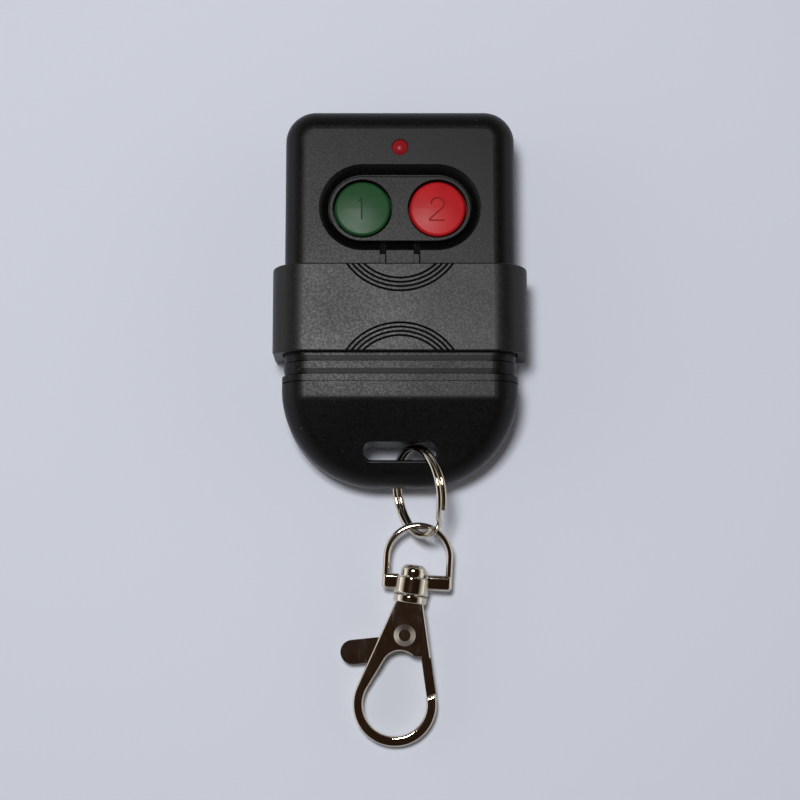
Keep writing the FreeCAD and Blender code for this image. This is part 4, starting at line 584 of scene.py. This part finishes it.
@dataclass
class ButtonField(SubAssembly):
    """The two buttons and the lamp."""

    cap_diameter: float = 9.0 * MM
    dome_rise: float = 0.35 * MM
    figure_depth: float = 0.2 * MM
    # Share of the cap's colour that the painted shade leaves on the figure's floor.
    figure_painted_shade: float = 0.66
    figure_roughness: float = 0.25
    facing_up: float = 0.9

    def __post_init__(self) -> None:
        """Choose the finishes."""
        self.finishes = {
            "green_button": Finishes.GREEN,
            "red_button": Finishes.RED,
            "lamp_lens": Finishes.LAMP,
            "lamp_legs": Finishes.STEEL,
        }

    def build(self) -> None:
        """Dress the pieces and paint shade into the figures that are cut into the caps."""
        super().build()
        for name in ("green_button", "red_button"):
            self.paint_shade_on_figure(name)

    def paint_shade_on_figure(self, name: str) -> None:
        """Darken the floor of the figure with painted shade, and dull it; the floor lies below the
        dome of the cap.

        Args:
            name: the button's node.
        """
        low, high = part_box(name)
        half = self.cap_diameter / 2
        dome = (half ** 2 + self.dome_rise ** 2) / (2 * self.dome_rise)
        centre = ((low[0] + high[0]) / 2, (low[1] + high[1]) / 2, high[2] - dome)
        tree = NodeTree(self.nodes[name].data.materials[0].node_tree)
        shader = next(node for node in tree.tree.nodes if node.type == "BSDF_PRINCIPLED")
        mapping = tree.add("ShaderNodeMapping")
        tree.put(mapping.inputs["Vector"], tree.add("ShaderNodeTexCoord").outputs["Object"])
        mapping.inputs["Location"].default_value = tuple(-c for c in centre)
        reach = tree.add("ShaderNodeVectorMath", operation="LENGTH")
        tree.put(reach.inputs[0], mapping.outputs[0])
        below = tree.math("LESS_THAN", reach.outputs["Value"], dome - self.figure_depth / 2)
        facing = tree.add("ShaderNodeSeparateXYZ")
        tree.put(facing.inputs[0], tree.add("ShaderNodeNewGeometry").outputs["Normal"])
        upward = tree.math("GREATER_THAN", facing.outputs["Z"], self.facing_up)
        mask = tree.math("MULTIPLY", below, upward)
        colour = shader.inputs["Base Color"].links[0].from_socket
        rough = shader.inputs["Roughness"].links[0].from_socket
        # Painted shade: the floor of the cut figure is darkened as if shade fell into the recess.
        painted_shade_colour = tuple(c * self.figure_painted_shade for c in self.finishes[name].value.colour)
        tree.put(shader.inputs["Base Color"], tree.mix(mask, colour, painted_shade_colour))
        dull = tree.math("MULTIPLY", mask, self.figure_roughness)
        tree.put(shader.inputs["Roughness"], tree.math("ADD", rough, dull))


@dataclass
class Electronics(SubAssembly):
    """Board, switches, chips and battery inside the case."""

    lever_count: int = 8

    def __post_init__(self) -> None:
        """Choose the finishes."""
        steel = ("switch_plates", "switch_pins", "code_switch_pins", "encoder_pins",
                 "resonator_can", "resonator_legs")
        sprung = ("battery_contact_plus", "battery_contact_minus", "battery_spring")
        nylon = ("switch_bases", "switch_plunger_green", "switch_plunger_red")
        self.finishes = {
            "circuit_board": Finishes.BOARD,
            "antenna_loop": Finishes.COPPER,
            "code_switch": Finishes.CODE_BLUE,
            "encoder_chip": Finishes.CHIP,
            "transistor": Finishes.CHIP,
            "trimmer": Finishes.TRIMMER,
            "resistors": Finishes.RESISTOR,
            "capacitors": Finishes.CAPACITOR,
            "battery_cell": Finishes.CELL,
        }
        self.finishes |= dict.fromkeys(steel, Finishes.STEEL)
        self.finishes |= dict.fromkeys(sprung, Finishes.SPRING)
        self.finishes |= dict.fromkeys(nylon, Finishes.NYLON)
        for i in range(self.lever_count):
            self.finishes[f"code_lever_{i + 1}"] = Finishes.CODE_WHITE


@dataclass
class KeyHardware(SubAssembly):
    """Split ring, swivel bow and clasp."""

    def __post_init__(self) -> None:
        """Choose the finishes."""
        plated = ("split_ring", "swivel_bow", "swivel_post", "clasp_body", "clasp_rivet",
                  "clasp_lever")
        self.finishes = dict.fromkeys(plated, Finishes.NICKEL)
        self.finishes["lever_spring"] = Finishes.SPRING


@dataclass
class Studio:
    """Floor, lamps, world and camera."""

    floor_size: float = 6.0
    floor_colour: Colour = (0.78, 0.82, 0.92)
    floor_roughness: float = 0.9
    floor_gloss: float = 0.1
    key_size: float = 0.11
    key_place: tuple[float, float, float] = (-0.060, 0.042, 0.52)
    key_power: float = 1.72
    zenith: Colour = (0.027, 0.0130, 0.0070)
    horizon: Colour = grey(1.80)
    wall_height: Span = (0.0, 0.66)
    ends_span: Span = (0.25, 0.8)
    ends_level: Span = (1.0, 0.28)
    sides_span: Span = (-0.5, 0.5)
    sides_level: Span = (1.0, 0.8)
    camera_place: tuple[float, float, float] = (0.0, -66.52 * MM, 323.06 * MM)
    camera_tilt: float = 9.0
    lens: float = 88.83
    clip: Span = (0.01, 20.0)

    def build(self) -> None:
        """Make the whole studio."""
        self.floor()
        self.key_lamp()
        self.world()
        self.camera()

    def floor(self) -> None:
        """Plain pale floor, which isn't part of the object."""
        bpy.ops.mesh.primitive_plane_add(size=self.floor_size)
        floor = bpy.context.object
        floor.name = "floor"
        paint = bpy.data.materials.new("pale_floor")
        paint.use_nodes = True
        shader = paint.node_tree.nodes["Principled BSDF"]
        shader.inputs["Base Color"].default_value = (*self.floor_colour, 1.0)
        shader.inputs["Roughness"].default_value = self.floor_roughness
        shader.inputs["Specular IOR Level"].default_value = self.floor_gloss
        floor.data.materials.append(paint)

    def key_lamp(self) -> None:
        """Soft box above the remote, a little to the left of its lamp end."""
        lamp = bpy.data.lights.new("key", "AREA")
        lamp.shape = "SQUARE"
        lamp.size = self.key_size
        lamp.energy = self.key_power
        holder = bpy.data.objects.new("key", lamp)
        holder.location = self.key_place
        aim = -Vector(self.key_place)
        holder.rotation_euler = aim.to_track_quat("-Z", "Y").to_euler()
        bpy.context.scene.collection.objects.link(holder)

    def world(self) -> None:
        """Studio walls that are pale at both sides and dim overhead and at the ends."""
        world = bpy.data.worlds.new("studio")
        bpy.context.scene.world = world
        world.use_nodes = True
        world.node_tree.nodes.clear()
        tree = NodeTree(world.node_tree)
        direction = tree.add("ShaderNodeTexCoord").outputs["Generated"]
        split = tree.add("ShaderNodeSeparateXYZ")
        tree.put(split.inputs[0], direction)
        height = tree.span(split.outputs["Z"], self.wall_height)
        background = tree.add("ShaderNodeBackground")
        tree.put(background.inputs["Color"], tree.mix(height, self.horizon, self.zenith))
        along = tree.math("ABSOLUTE", split.outputs["Y"])
        ends = tree.span(along, self.ends_span, self.ends_level)
        sides = tree.span(split.outputs["X"], self.sides_span, self.sides_level)
        tree.put(background.inputs["Strength"], tree.math("MULTIPLY", ends, sides))
        output = tree.add("ShaderNodeOutputWorld")
        tree.put(output.inputs["Surface"], background.outputs[0])

    def camera(self) -> None:
        """Camera at the photograph's viewing angle."""
        lens = bpy.data.cameras.new("camera")
        lens.lens = self.lens
        lens.clip_start, lens.clip_end = self.clip
        holder = bpy.data.objects.new("camera", lens)
        holder.location = self.camera_place
        holder.rotation_euler = (math.radians(self.camera_tilt), 0.0, 0.0)
        bpy.context.scene.collection.objects.link(holder)
        bpy.context.scene.camera = holder


def main() -> None:
    """Load the frame, dress each sub-assembly and build the studio."""
    logging.basicConfig(level=logging.INFO)
    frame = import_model()
    bpy.context.scene.view_settings.view_transform = "Standard"
    for kind in (Case, ButtonField, Electronics, KeyHardware):
        kind(frame["nodes"]).build()
    Studio().build()
    bpy.context.view_layer.update()


if __name__ == "__main__":
    main()
